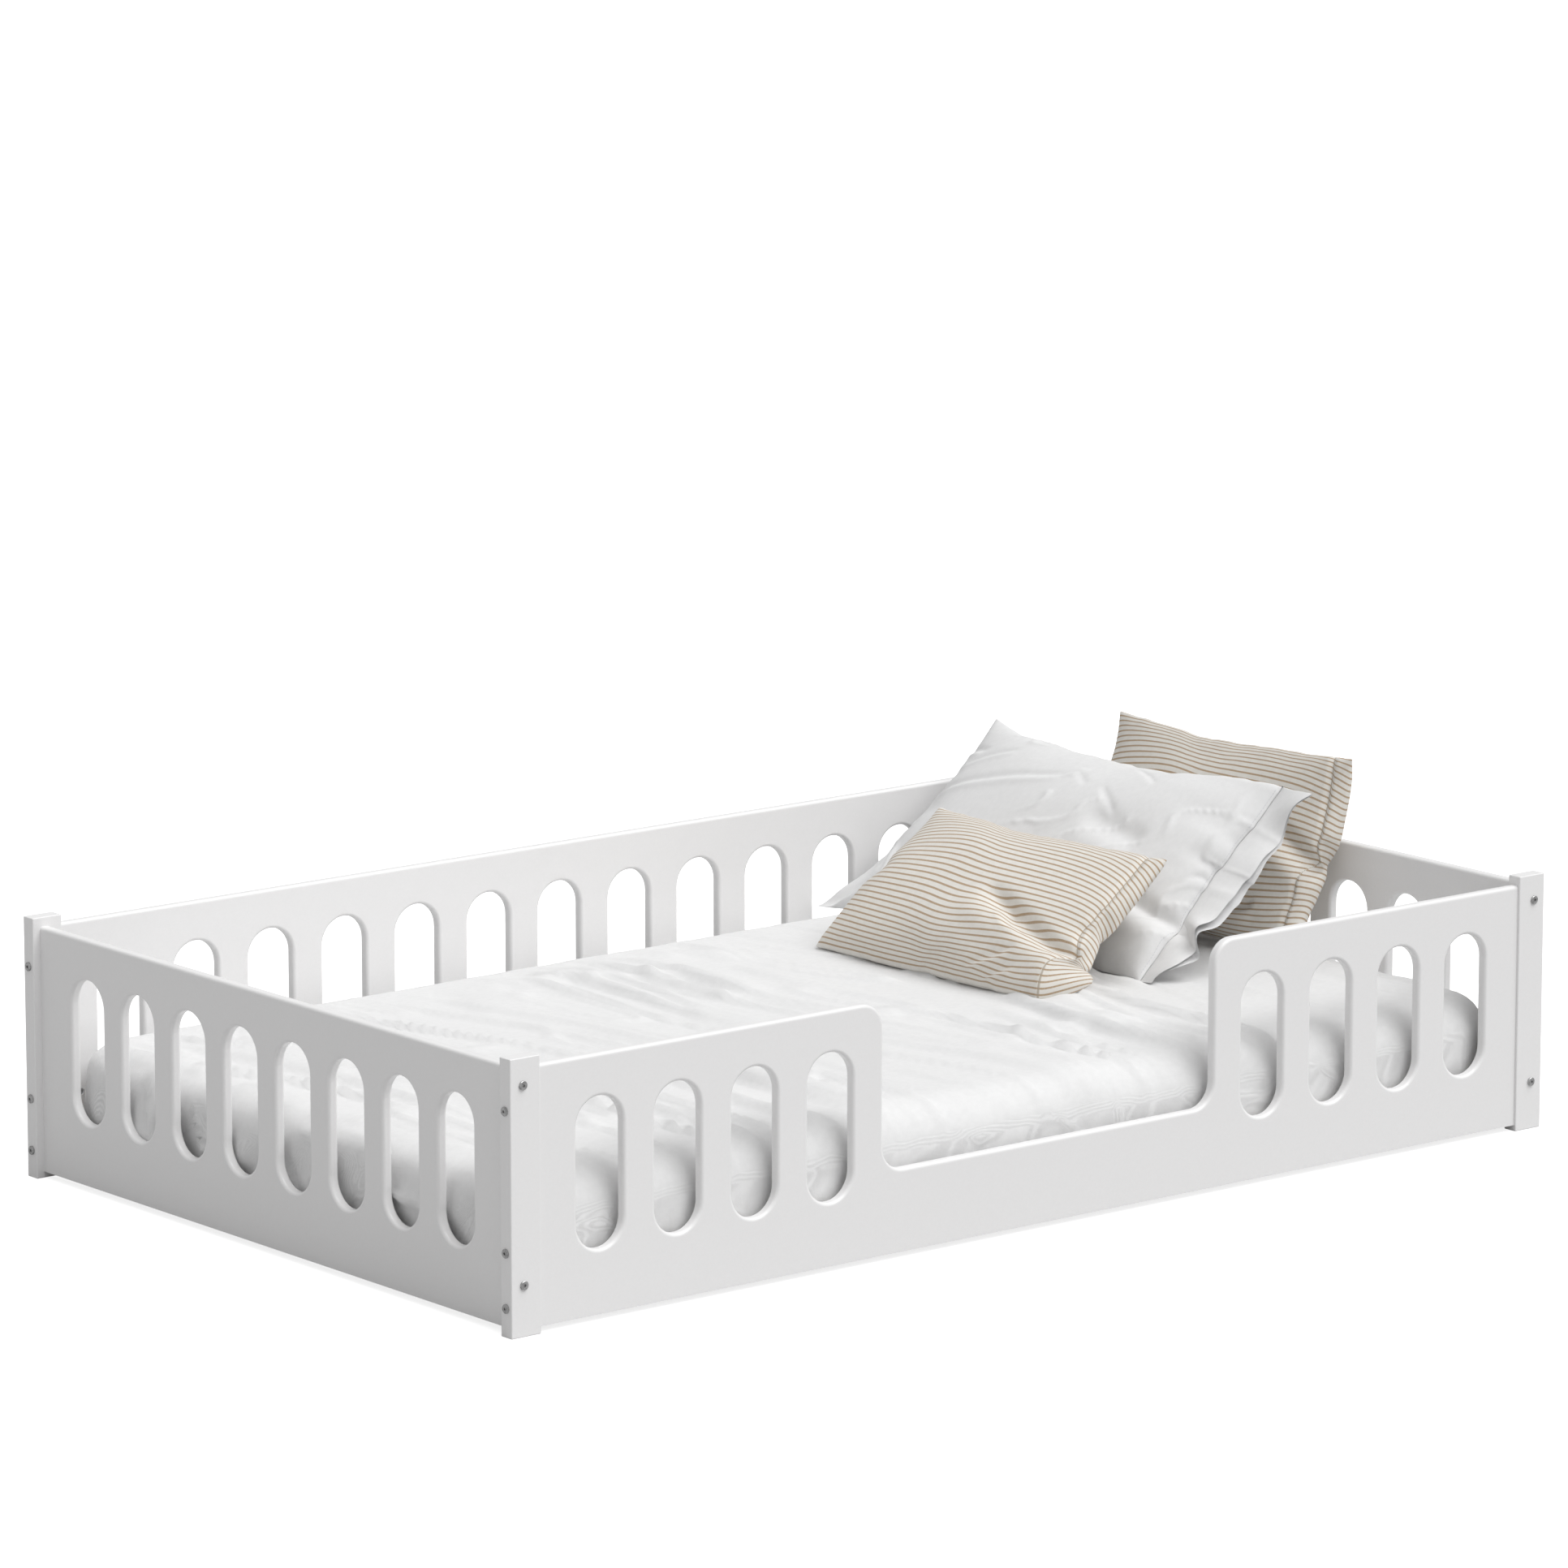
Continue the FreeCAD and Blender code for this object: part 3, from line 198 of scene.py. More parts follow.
# plain weave on a vector in metres: threads over and under, each a little uneven
def makeWeaveGroup():
    tree, source, result = newGroup(
        "plainWeave",
        [("Vector", "NodeSocketVector", None), ("Threads", "NodeSocketFloat", 1400.0),
         ("Slub", "NodeSocketFloat", 0.5)],
        [("Height", "NodeSocketFloat"), ("Shade", "NodeSocketFloat")])
    split = tree.nodes.new("ShaderNodeSeparateXYZ")
    tree.links.new(source.outputs["Vector"], split.inputs[0])
    waves = []
    for axis in ("X", "Y"):
        turns = math2(tree, "MULTIPLY", split.outputs[axis], source.outputs["Threads"])
        waves.append(math2(tree, "SINE", math2(tree, "MULTIPLY", turns, math.pi)))
    over = math2(tree, "MULTIPLY", waves[0], waves[1])
    uneven = noiseFactor(tree, source.outputs["Vector"], 90.0, 4.0, 0.65)
    height = math2(tree, "ADD", math2(tree, "MULTIPLY", over, 0.5),
                   math2(tree, "MULTIPLY", uneven, source.outputs["Slub"]))
    tree.links.new(height, result.inputs["Height"])
    tree.links.new(mapRange(tree, uneven, 0.25, 0.75, 0.0, 1.0), result.inputs["Shade"])
    return tree


# printed stripes across the vector's X, with soft edges and an uneven run of dye
def makeStripeGroup():
    tree, source, result = newGroup(
        "thinStripes",
        [("Vector", "NodeSocketVector", None), ("Spacing", "NodeSocketFloat", 0.01),
         ("Width", "NodeSocketFloat", 0.3)],
        [("Mask", "NodeSocketFloat")])
    split = tree.nodes.new("ShaderNodeSeparateXYZ")
    tree.links.new(source.outputs["Vector"], split.inputs[0])
    waver = noiseFactor(tree, source.outputs["Vector"], 30.0, 3.0)
    turns = math2(tree, "ADD", math2(tree, "DIVIDE", split.outputs["X"], source.outputs["Spacing"]),
                  math2(tree, "MULTIPLY", waver, 0.10))
    centre = math2(tree, "ABSOLUTE", math2(tree, "SUBTRACT", math2(tree, "FRACT", turns), 0.5))
    half = math2(tree, "MULTIPLY", source.outputs["Width"], 0.5)
    soft = math2(tree, "SUBTRACT", 1.0, mapRange(tree, centre, math2(tree, "MULTIPLY", half, 0.75),
                                                 math2(tree, "MULTIPLY", half, 1.25), 0.0, 1.0))
    fine = noiseFactor(tree, source.outputs["Vector"], 900.0, 2.0)
    dye = mapRange(tree, fine, 0.3, 0.6, 0.72, 1.0)
    tree.links.new(math2(tree, "MULTIPLY", soft, dye), result.inputs["Mask"])
    return tree


# turned or plated metal: fine marks with a few dull patches
def makeMetalGroup():
    tree, source, result = newGroup(
        "platedMetal",
        [("Vector", "NodeSocketVector", None), ("Bright", "NodeSocketColor", (0.7, 0.7, 0.7, 1)),
         ("Dull", "NodeSocketColor", (0.45, 0.45, 0.45, 1)), ("Base Roughness", "NodeSocketFloat", 0.3)],
        [("Colour", "NodeSocketColor"), ("Roughness", "NodeSocketFloat"), ("Height", "NodeSocketFloat")])
    patch = noiseFactor(tree, source.outputs["Vector"], 180.0, 3.0)
    marks = noiseFactor(tree, source.outputs["Vector"], 1800.0, 2.0)
    worn = mapRange(tree, patch, 0.40, 0.65, 0.0, 1.0)
    tree.links.new(mixColour(tree, worn, source.outputs["Bright"], source.outputs["Dull"]), result.inputs["Colour"])
    tree.links.new(math2(tree, "ADD", source.outputs["Base Roughness"], math2(tree, "MULTIPLY", worn, 0.15)),
                   result.inputs["Roughness"])
    tree.links.new(marks, result.inputs["Height"])
    return tree


groups = {
    "lacquer": makeLacquerGroup(),
    "wood": makeWoodGroup(),
    "weave": makeWeaveGroup(),
    "stripe": makeStripeGroup(),
    "metal": makeMetalGroup(),
}
print("shader groups made")


def startMaterial(name, **constants):
    material = bpy.data.materials.new(name)
    material.use_nodes = True
    tree = material.node_tree
    shader = tree.nodes["Principled BSDF"]
    for label, value in constants.items():
        shader.inputs[label.replace("_", " ")].default_value = value
    return material, tree, shader


def coordinates(tree, kind="Object", turn=(0, 0, 0)):
    place = tree.nodes.new("ShaderNodeTexCoord")
    mapping = tree.nodes.new("ShaderNodeMapping")
    mapping.inputs["Rotation"].default_value = turn
    tree.links.new(place.outputs[kind], mapping.inputs["Vector"])
    return mapping.outputs[0]


def placeGroup(tree, name, vector, **values):
    node = tree.nodes.new("ShaderNodeGroup")
    node.node_tree = groups[name]
    return feed(tree, node, Vector=vector, **values)


def bump(tree, shader, height, distance):
    node = tree.nodes.new("ShaderNodeBump")
    feed(tree, node, Height=height, Distance=distance)
    tree.links.new(node.outputs["Normal"], shader.inputs["Normal"])


def lacquerMaterial(name, look):
    material, tree, shader = startMaterial(name, IOR=1.48, Coat_Weight=look["coat"], Coat_Roughness=0.22)
    spray = placeGroup(tree, "lacquer", coordinates(tree), Colour=look["colour"], Tone=look["tone"])
    tree.links.new(spray.outputs["Colour"], shader.inputs["Base Color"])
    tree.links.new(spray.outputs["Roughness"], shader.inputs["Roughness"])
    bump(tree, shader, spray.outputs["Height"], look["relief"])
    return material


def woodMaterial(name, look):
    material, tree, shader = startMaterial(name, IOR=1.5)
    vector = coordinates(tree, turn=(0, 0, look["turn"]))
    grain = placeGroup(tree, "wood", vector, Light=look["light"], Dark=look["dark"], Rings=look["rings"],
                       Pores=look["pores"])
    tree.links.new(grain.outputs["Colour"], shader.inputs["Base Color"])
    tree.links.new(grain.outputs["Roughness"], shader.inputs["Roughness"])
    bump(tree, shader, grain.outputs["Height"], look["relief"])
    return material


def metalMaterial(name, look):
    material, tree, shader = startMaterial(name, Metallic=1.0)
    plate = placeGroup(tree, "metal", coordinates(tree), Bright=look["bright"], Dull=look["dull"],
                       Base_Roughness=look["roughness"])
    tree.links.new(plate.outputs["Colour"], shader.inputs["Base Color"])
    tree.links.new(plate.outputs["Roughness"], shader.inputs["Roughness"])
    bump(tree, shader, plate.outputs["Height"], look["relief"])
    return material


def clothMaterial(name, look):
    material, tree, shader = startMaterial(name, Roughness=0.9, Sheen_Weight=look["sheen"], Sheen_Roughness=0.5,
                                           Specular_IOR_Level=0.25)
    vector = coordinates(tree, look["follows"])
    weave = placeGroup(tree, "weave", vector, Threads=look["threads"], Slub=look["slub"])
    ground = mixColour(tree, weave.outputs["Shade"], look["colour"], look["shade"])
    if "stripe" in look:
        stripes = placeGroup(tree, "stripe", vector, Spacing=look["stripeSpacing"], Width=look["stripeWidth"])
        ground = mixColour(tree, stripes.outputs["Mask"], ground, look["stripe"])
        split = tree.nodes.new("ShaderNodeSeparateXYZ")  # painted shade: the needle line is darkened in the colour as a thin shadow line
        tree.links.new(vector, split.inputs[0])
        # painted shade: near the needle line the colour is mixed towards the dark seam colour, standing in for the
        # shadow in the stitched groove
        away = math2(tree, "ABSOLUTE", math2(tree, "SUBTRACT", split.outputs["Y"], look["seamAt"]))
        ground = mixColour(tree, mapRange(tree, away, 0.0005, 0.0016, 0.75, 0.0), ground, look["seam"])
    tree.links.new(ground, shader.inputs["Base Color"])
    bump(tree, shader, weave.outputs["Height"], look["relief"])
    return material


# A material for each material slot of the parts, and two for sewing thread. Relief is in metres, rings and
# threads are counts per metre, and turn swings the grain away from the X axis.
metalRelief, woodRelief = 0.00003, 0.0002
looks = {
    "white_lacquer": lacquerMaterial("whiteLacquer", {
        "colour": (0.84, 0.835, 0.835, 1), "tone": 0.05, "coat": 0.25, "relief": 0.00004}),
    "zinc_bolt": metalMaterial("zincBolt", {
        "bright": (0.50, 0.50, 0.50, 1), "dull": (0.36, 0.36, 0.36, 1), "roughness": 0.40, "relief": metalRelief}),
    "zinc_fitting": metalMaterial("zincFitting", {
        "bright": (0.62, 0.63, 0.64, 1), "dull": (0.45, 0.46, 0.47, 1), "roughness": 0.30, "relief": metalRelief}),
    "yellow_screw": metalMaterial("yellowScrew", {
        "bright": (0.72, 0.60, 0.33, 1), "dull": (0.52, 0.42, 0.24, 1), "roughness": 0.32, "relief": metalRelief}),
    "galvanised_steel": metalMaterial("galvanisedSteel", {
        "bright": (0.64, 0.66, 0.67, 1), "dull": (0.48, 0.50, 0.51, 1), "roughness": 0.36, "relief": metalRelief}),
    "beech": woodMaterial("beechDowel", {
        "light": (0.68, 0.50, 0.33, 1), "dark": (0.52, 0.35, 0.21, 1), "rings": 180.0, "pores": 0.5, "turn": 0,
        "relief": woodRelief}),
    "planed_pine": woodMaterial("planedPine", {
        "light": (0.76, 0.60, 0.39, 1), "dark": (0.58, 0.38, 0.20, 1), "rings": 95.0, "pores": 0.15, "turn": 0,
        "relief": woodRelief}),
    "slat_pine": woodMaterial("slatPine", {
        "light": (0.80, 0.66, 0.46, 1), "dark": (0.64, 0.45, 0.26, 1), "rings": 70.0, "pores": 0.15,
        "turn": math.pi / 2, "relief": woodRelief}),
    "beech_foot": woodMaterial("beechFoot", {
        "light": (0.66, 0.48, 0.31, 1), "dark": (0.50, 0.34, 0.20, 1), "rings": 140.0, "pores": 0.5, "turn": 0,
        "relief": woodRelief}),
    "webbing": clothMaterial("webbingTape", {
        "follows": "Object", "threads": 900.0, "slub": 0.2, "colour": (0.78, 0.78, 0.75, 1),
        "shade": (0.68, 0.68, 0.65, 1), "sheen": 0.1, "relief": 0.0004}),
    "foam": clothMaterial("mattressTicking", {
        "follows": "Object", "threads": 1100.0, "slub": 0.6, "colour": (0.84, 0.83, 0.79, 1),
        "shade": (0.78, 0.77, 0.73, 1), "sheen": 0.08, "relief": 0.0003}),
    "white_jersey": clothMaterial("whiteJersey", {
        "follows": "Object", "threads": 1500.0, "slub": 1.4, "colour": (0.86, 0.86, 0.86, 1),
        "shade": (0.825, 0.825, 0.825, 1), "sheen": 0.06, "relief": 0.00035}),
    "white_cotton": clothMaterial("whiteCotton", {
        "follows": "UV", "threads": 1900.0, "slub": 0.5, "colour": (0.83, 0.83, 0.83, 1),
        "shade": (0.795, 0.795, 0.795, 1), "sheen": 0.08, "relief": 0.0002}),
    "striped_cotton": clothMaterial("stripedCotton", {
        "follows": "UV", "threads": 1300.0, "slub": 0.9, "colour": (0.81, 0.785, 0.74, 1),
        "shade": (0.76, 0.735, 0.685, 1), "sheen": 0.08, "relief": 0.0003,
        "stripe": (0.44, 0.31, 0.19, 1), "stripeSpacing": 0.0096, "stripeWidth": 0.30,
        # seam is the colour of the painted shadow line along the stitches
        "seamAt": -0.236, "seam": (0.40, 0.34, 0.27, 1)}),
    "thread": clothMaterial("sewingThread", {
        "follows": "Object", "threads": 2500.0, "slub": 0.3, "colour": (0.80, 0.77, 0.72, 1),
        "shade": (0.72, 0.69, 0.63, 1), "sheen": 0.1, "relief": 0.0001}),
    "white_thread": clothMaterial("whiteThread", {
        "follows": "Object", "threads": 2500.0, "slub": 0.3, "colour": (0.70, 0.71, 0.73, 1),
        "shade": (0.64, 0.65, 0.67, 1), "sheen": 0.1, "relief": 0.0001}),
}


def wear(thing, look):
    thing.data.materials.clear()
    thing.data.materials.append(looks[look])


for part in frame["record"]["subparts"]:
    if part["material_slot"] in looks:
        wear(nodes[part["node"]], part["material_slot"])
print("materials placed on", len(nodes), "parts")


# Makes soft arcs of a grid's square corners. u and v are the shares of the corner's zone that a point has
# crossed in x and in y; both shrink by the larger of them over their p-norm.
def drawnCorners(x, y, halfX, halfY, zone, power=6.75):
    u = np.clip((np.abs(x) - (halfX - zone)) / zone, 0, 1)
    v = np.clip((np.abs(y) - (halfY - zone)) / zone, 0, 1)
    largest = np.maximum(u, v)
    length = (u ** power + v ** power) ** (1 / power)
    keep = np.where(length > 0, largest / np.maximum(length, 1e-9), 1)
    return (x - np.sign(x) * u * zone * (1 - keep), y - np.sign(y) * v * zone * (1 - keep))


# A rounded block, for the sheet and for the mattress: a flat grid on top, and a skirt that repeats the grid's
# rim, moved outward and down. Its rows follow a quarter circle of radius edge, the upright side, a quarter
# circle of radius foot, and the underside, turned in by under. Normals and the run round the rim come with it.
def blockSurface(low, high, edge, foot, corner, cell, under):
    middle = (low + high) / 2
    halfX, halfY = (high - low)[:2] / 2 - edge
    countX, countY = round(2 * halfX / cell), round(2 * halfY / cell)
    gridX, gridY = np.meshgrid(np.linspace(-halfX, halfX, countX + 1), np.linspace(-halfY, halfY, countY + 1),
                               indexing="ij")
    topX, topY = drawnCorners(gridX, gridY, halfX, halfY, 3 * (corner - edge))
    top = np.stack([topX + middle[0], topY + middle[1], np.full_like(topX, high[2])], axis=2)
    numbers = np.arange(top.shape[0] * top.shape[1]).reshape(top.shape[:2])
    ring = np.concatenate([numbers[:-1, 0], numbers[-1, :-1], numbers[:0:-1, -1], numbers[0, :0:-1]])
    rim = top.reshape(-1, 3)[ring]
    along = np.roll(rim, -1, axis=0) - np.roll(rim, 1, axis=0)
    outward = np.stack([along[:, 1], -along[:, 0], np.zeros(len(ring))], axis=1)
    outward /= np.linalg.norm(outward, axis=1, keepdims=True)
    arc = np.linspace(0, math.pi / 2, 7)[1:]
    sideLow = low[2] + foot
    drops = np.linspace(high[2] - edge, sideLow, max(2, round((high[2] - edge - sideLow) / cell)) + 1)[1:]
    rows = [(edge * math.sin(t), high[2] - edge + edge * math.cos(t), math.sin(t), math.cos(t)) for t in arc]
    rows += [(edge, z, 1.0, 0.0) for z in drops]
    rows += [(edge - foot + foot * math.sin(t), sideLow - foot * math.cos(t), math.sin(t), -math.cos(t))
             for t in arc[::-1][1:]]
    rows += [(edge - foot, low[2], 0.0, -1.0), (0.0, low[2], 0.0, -1.0)]
    skirt = [rim + outward * out + np.array([0, 0, z - high[2]]) for out, z, _, _ in rows]
    skirtNormals = [outward * side + np.array([0, 0, up]) for _, _, side, up in rows]
    for share in np.linspace(0, 1, round(under / cell) + 1)[1:]:  # turned in under the mattress
        inner = (rim - middle) * (1 - share * under / np.array([halfX, halfY, np.inf])) + middle
        inner[:, 2] = low[2]
        skirt.append(inner)
        skirtNormals.append(np.tile([0.0, 0.0, -1.0], (len(ring), 1)))
    points = np.concatenate([top.reshape(-1, 3)] + skirt)
    normals = np.concatenate([np.tile([0.0, 0.0, 1.0], (top.shape[0] * top.shape[1], 1))] + skirtNormals)
    rings = [ring] + [len(ring) * i + top.shape[0] * top.shape[1] + np.arange(len(ring)) for i in range(len(skirt))]
    band = np.stack([np.append(r, r[0]) for r in rings])
    run = np.concatenate([[0], np.cumsum(np.linalg.norm(np.diff(rim[:, :2], axis=0), axis=1))])
    runs = np.concatenate([np.zeros(top.shape[0] * top.shape[1])] + [run] * len(skirt))
    return points, normals, gridFaces(numbers), gridFaces(band), ring, runs


sheetLook = {
    "cell": 0.0070, "edge": 0.062, "foot": 0.024, "corner": 0.095, "hem": 0.085, "crown": 0.004,
    "broad": 0.0030, "ridge": 0.0155, "fine": 0.0080, "nick": 0.0010,  # heights of the wrinkles on top
    "loose": 0.0034, "crease": 0.0060, "tight": 0.0010,  # the folds on the sides, and how far they are drawn in
    "slack": 0.22, "footSlack": 1.68,  # how loose the sides are, and how much looser the foot end is
    "room": 0.012,  # how far a fold can stand out before the board stops it
    "spare": 0.0065,  # the sides start this far inside their box, and so leave room for the folds
}


# Wrinkles on top: ridges stand where noise that is stretched along Y crosses zero, on a coordinate line that
# slants and drifts, so they run across the bed. Slow noise and four ramps thin them out near the pillows and
# along the edges.
def topWrinkles(x, y):
    drift = 0.055 * softNoise(x / 0.42 + 3.1, y / 0.5, 11) + 0.009 * softNoise(x / 0.13, y / 0.28 + 7, 12)
    lean = 0.16 * y + 0.16 * ramp(-y, 0.15, 0.62) * (0.62 + y)
    line = x + lean + drift
    broad = softNoise(line / 0.085, y / 0.75 + 2.3, 13)
    ridge = 1 - np.abs(softNoise(line / 0.058, y / 0.56 + 5.7, 14))
    fine = 1 - np.abs(softNoise(line / 0.037, y / 0.24, 15))
    nick = ramp(softNoise(x / 0.030, y / 0.022, 17), 0.62, 0.95) * ramp(ridge, 0.80, 0.95)
    where = 0.45 + 0.55 * ramp(softNoise(x / 0.33 + 9, y / 0.36, 16), -0.45, 0.45)
    quietEnds = 1 - 0.75 * ramp(x, 0.42, 0.75) - 0.25 * ramp(-x, 0.62, 0.95)
    quietSides = (1 - 0.95 * ramp(y, 0.38, 0.56)) * (1 - 0.5 * ramp(-y, 0.46, 0.58))
    height = sheetLook["broad"] * broad + sheetLook["ridge"] * ramp(ridge, 0.70, 1.0)
    height += sheetLook["fine"] * ramp(fine, 0.70, 1.0) - sheetLook["nick"] * nick
    return quietEnds * quietSides * where * height


# Folds on the sides: noise on the run round the rim plus a share of the drop, so that they slant, and creases
# where a second noise crosses zero. They start under the edge, and a tanh keeps them within the room.
def sideFolds(x, run, z, low, high):
    down = (high - z) / (high - low)
    looseness = sheetLook["slack"] + sheetLook["footSlack"] * ramp(-x, 0.90, 0.99)
    slant = run + 0.55 * (high - z)
    loose = softNoise(slant / 0.062, down * 1.4, 21) + 0.6 * softNoise(slant / 0.030 + 4, down * 2.2, 22)
    crease = ramp(1 - np.abs(softNoise((run - 0.7 * (high - z)) / 0.11, down * 1.1 + 3, 23)), 0.80, 1.0)
    fold = sheetLook["loose"] * loose + sheetLook["crease"] * crease - sheetLook["tight"]
    return sheetLook["room"] * np.tanh(looseness * ramp(down, 0.06, 0.35) * fold / sheetLook["room"])


# every point of the block moves along its normal: by a low crown, 1 - x^4 times 1 - y^4, and the wrinkles on
# top, and by the folds on the sides
def makeSheet():
    low, high = (np.array(corner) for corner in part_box("fitted_sheet"))
    low[:2] += sheetLook["spare"]
    high[:2] -= sheetLook["spare"]
    points, normals, topFaces, skirtFaces, _, runs = blockSurface(
        low, high, sheetLook["edge"], sheetLook["foot"], sheetLook["corner"], sheetLook["cell"], sheetLook["hem"])
    x, y, z = points.T
    halfX, halfY = (high - low)[:2] / 2
    crown = sheetLook["crown"] * (1 - (x / halfX) ** 4) * (1 - (y / halfY) ** 4)
    onTop = ramp(normals[:, 2], 0.15, 0.9)
    onSide = ramp(1 - np.abs(normals[:, 2]), 0.2, 0.9)
    lift = onTop * (crown + topWrinkles(x, y)) + onSide * sideFolds(x, runs, z, low[2], high[2])
    points = points + normals * lift[:, None]
    piece = meshObject("fittedSheet", points, np.concatenate([topFaces, skirtFaces]))
    wear(piece, "white_jersey")
    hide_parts("fitted_sheet")
    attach(piece, "mattress")


# the block is set in from its box by inset and topInset, to lie within the sheet's folds
mattressLook = {"cell": 0.02, "edge": 0.056, "foot": 0.018, "corner": 0.089, "inset": 0.017, "topInset": 0.0051,
                "quilting": 0.0012, "quiltTurns": 26}


# the rounded block, closed by a copy of its top grid; sine times sine quilts the underside
def makeMattress():
    low, high = (np.array(corner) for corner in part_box("mattress_core"))
    low[:2] += mattressLook["inset"]
    high -= np.array([mattressLook["inset"], mattressLook["inset"], mattressLook["topInset"]])
    points, _, topFaces, skirtFaces, ring, _ = blockSurface(
        low, high, mattressLook["edge"], mattressLook["foot"], mattressLook["corner"], mattressLook["cell"], 0)
    topCount = topFaces.max() + 1
    lowerRim = np.arange(len(points) - len(ring), len(points))
    bottom = points[:topCount].copy()
    bottom[:, 2] = low[2]
    numbers = np.arange(topCount) + len(points)
    numbers[ring] = lowerRim  # the underside shares the skirt's last row
    bottomFaces = numbers[topFaces[:, ::-1]]
    points = np.concatenate([points, bottom])
    waves = np.sin(points[:, :2] * mattressLook["quiltTurns"])
    underside = points[:, 2] < low[2] + 0.001
    points[:, 2] += mattressLook["quilting"] * np.abs(waves[:, 0] * waves[:, 1]) * underside
    faces = np.concatenate([topFaces, skirtFaces, bottomFaces])
    used, packed = np.unique(faces, return_inverse=True)
    piece = meshObject("mattressBlock", points[used], packed.reshape(faces.shape))
    wear(piece, "foam")
    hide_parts("mattress_core")
    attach(piece, "mattress")


makeMattress()
makeSheet()
print("mattress and sheet made")


# A pillow is two layers of one grid that share their rim, kept as an array (layer, row, column, xyz).
# Its own frame: x up the slope, y along the length, z out of the front. u and v run from -1 to 1 on the
# flat cut: u is 1 at the top, and v is 1 at the far end and -1 at the open front of the bed.
def flatCut(look):
    rows, columns = (round(look[size] / look["cell"]) for size in ("cutHeight", "cutLength"))
    return np.meshgrid(np.linspace(-1, 1, rows + 1), np.linspace(-1, 1, columns + 1), indexing="ij")


# the point numbers of both layers; the rim's points belong to both
def layerNumbers(shape):
    front = np.arange(shape[0] * shape[1]).reshape(shape)
    back = front.copy()
    inner = (shape[0] - 2, shape[1] - 2)
    back[1:-1, 1:-1] = front.size + np.arange(inner[0] * inner[1]).reshape(inner)
    return np.stack([front, back])


# the two layers as one closed mesh, the rim being the mean of both
def joined(layers):
    rim = layers.mean(axis=0)
    rim[1:-1, 1:-1] = layers[0, 1:-1, 1:-1]
    return np.concatenate([rim.reshape(-1, layers.shape[-1]), layers[1, 1:-1, 1:-1].reshape(-1, layers.shape[-1])])


def bagFaces(shape):
    front, back = layerNumbers(shape)
    return np.concatenate([gridFaces(front), gridFaces(back, flip=True)])


# puts a point midway between each two neighbours
def doubled(grid, axis):
    twice = np.repeat(grid, 2, axis=axis)
    count = twice.shape[axis]
    return (twice.take(range(count - 1), axis) + twice.take(range(1, count), axis)) / 2


# each point moves half way to the mean of its neighbours; rims are smoothed along themselves
def smoothed(layers, passes):
    for _ in range(passes):
        around = (layers[:, :-2, 1:-1] + layers[:, 2:, 1:-1] + layers[:, 1:-1, :-2] + layers[:, 1:-1, 2:]) / 4
        layers[:, 1:-1, 1:-1] = (layers[:, 1:-1, 1:-1] + around) / 2
        for rim in (layers[:, 0], layers[:, -1], layers[:, :, 0], layers[:, :, -1]):
            rim[:, 1:-1] = rim[:, 1:-1] / 2 + (rim[:, :-2] + rim[:, 2:]) / 4
    return layers


# u, v and the flat places of the refined grid, in metres
def flatPlaces(layers, look):
    u, v = np.meshgrid(*(np.linspace(-1, 1, count) for count in layers.shape[1:3]), indexing="ij")
    return u, v, np.stack([u * look["height"], v * look["length"]], axis=2) / 2


# blows the bag up with Blender's cloth until it holds the wanted volume, and reads the points back
def inflate(points, faces, look):
    bag = meshObject("bag", points, faces)
    cloth = bag.modifiers.new("cloth", "CLOTH")
    settings = cloth.settings
    settings.quality = 5
    settings.mass = 0.25  # kg a point; without gravity, the pressure alone gives the shape
    settings.tension_stiffness = settings.compression_stiffness = look["stiffness"]
    settings.shear_stiffness = look["stiffness"] * 0.3
    settings.bending_stiffness = look["bending"]
    settings.tension_damping = settings.compression_damping = 12
    settings.air_damping = 3
    settings.use_pressure = True
    settings.uniform_pressure_force = look["pressure"]
    settings.use_pressure_volume = True
    settings.target_volume = look["volume"]
    settings.effector_weights.gravity = 0
    cloth.collision_settings.use_collision = False
    cloth.point_cache.frame_start, cloth.point_cache.frame_end = 1, look["frames"]
    for frameNumber in range(1, look["frames"] + 1):
        bpy.context.scene.frame_set(frameNumber)
    done = bag.evaluated_get(bpy.context.evaluated_depsgraph_get()).to_mesh()
    moved = np.zeros(len(points) * 3)
    done.vertices.foreach_get("co", moved)
    bpy.context.scene.frame_set(1)
    bpy.data.objects.remove(bag)
    return moved.reshape(-1, 3)


# The flat cut starts as a low dome, 1 - u^2 times 1 - v^2, is blown up, refined twice, smoothed, and scaled
# to the pillow's size. Raising the height to a power below 1 fills out the sides.
def swollen(look):
    u, v = flatCut(look)
    half = np.array([look["cutHeight"], look["cutLength"]]) / 2
    dome = (1 - u ** 2) * (1 - v ** 2)
    layers = np.stack([np.stack([u * half[0], v * half[1], side * dome], axis=2) for side in (1, -1)])
    layers[..., 2] *= 0.006
    layers = inflate(joined(layers), bagFaces(u.shape), look)[layerNumbers(u.shape)]
    layers = smoothed(doubled(doubled(layers, 1), 2), 8)
    spans = np.ptp(layers, axis=(0, 1, 2))
    middle = (layers.max(axis=(0, 1, 2)) + layers.min(axis=(0, 1, 2))) / 2
    layers = (layers - middle) / spans
    layers[..., 2] = np.sign(layers[..., 2]) * np.abs(layers[..., 2] * 2) ** look["fullness"] / 2
    return layers * np.array([look["height"], look["length"], look["thickness"]])


# a run of values averaged under a raised cosine, with its end values repeated beyond the ends
def evened(run, width=21):
    padded = np.concatenate([np.full(width // 2, run[0]), run, np.full(width // 2, run[-1])])
    window = np.hanning(width + 2)[1:-1]
    return np.convolve(padded, window / window.sum(), "valid")


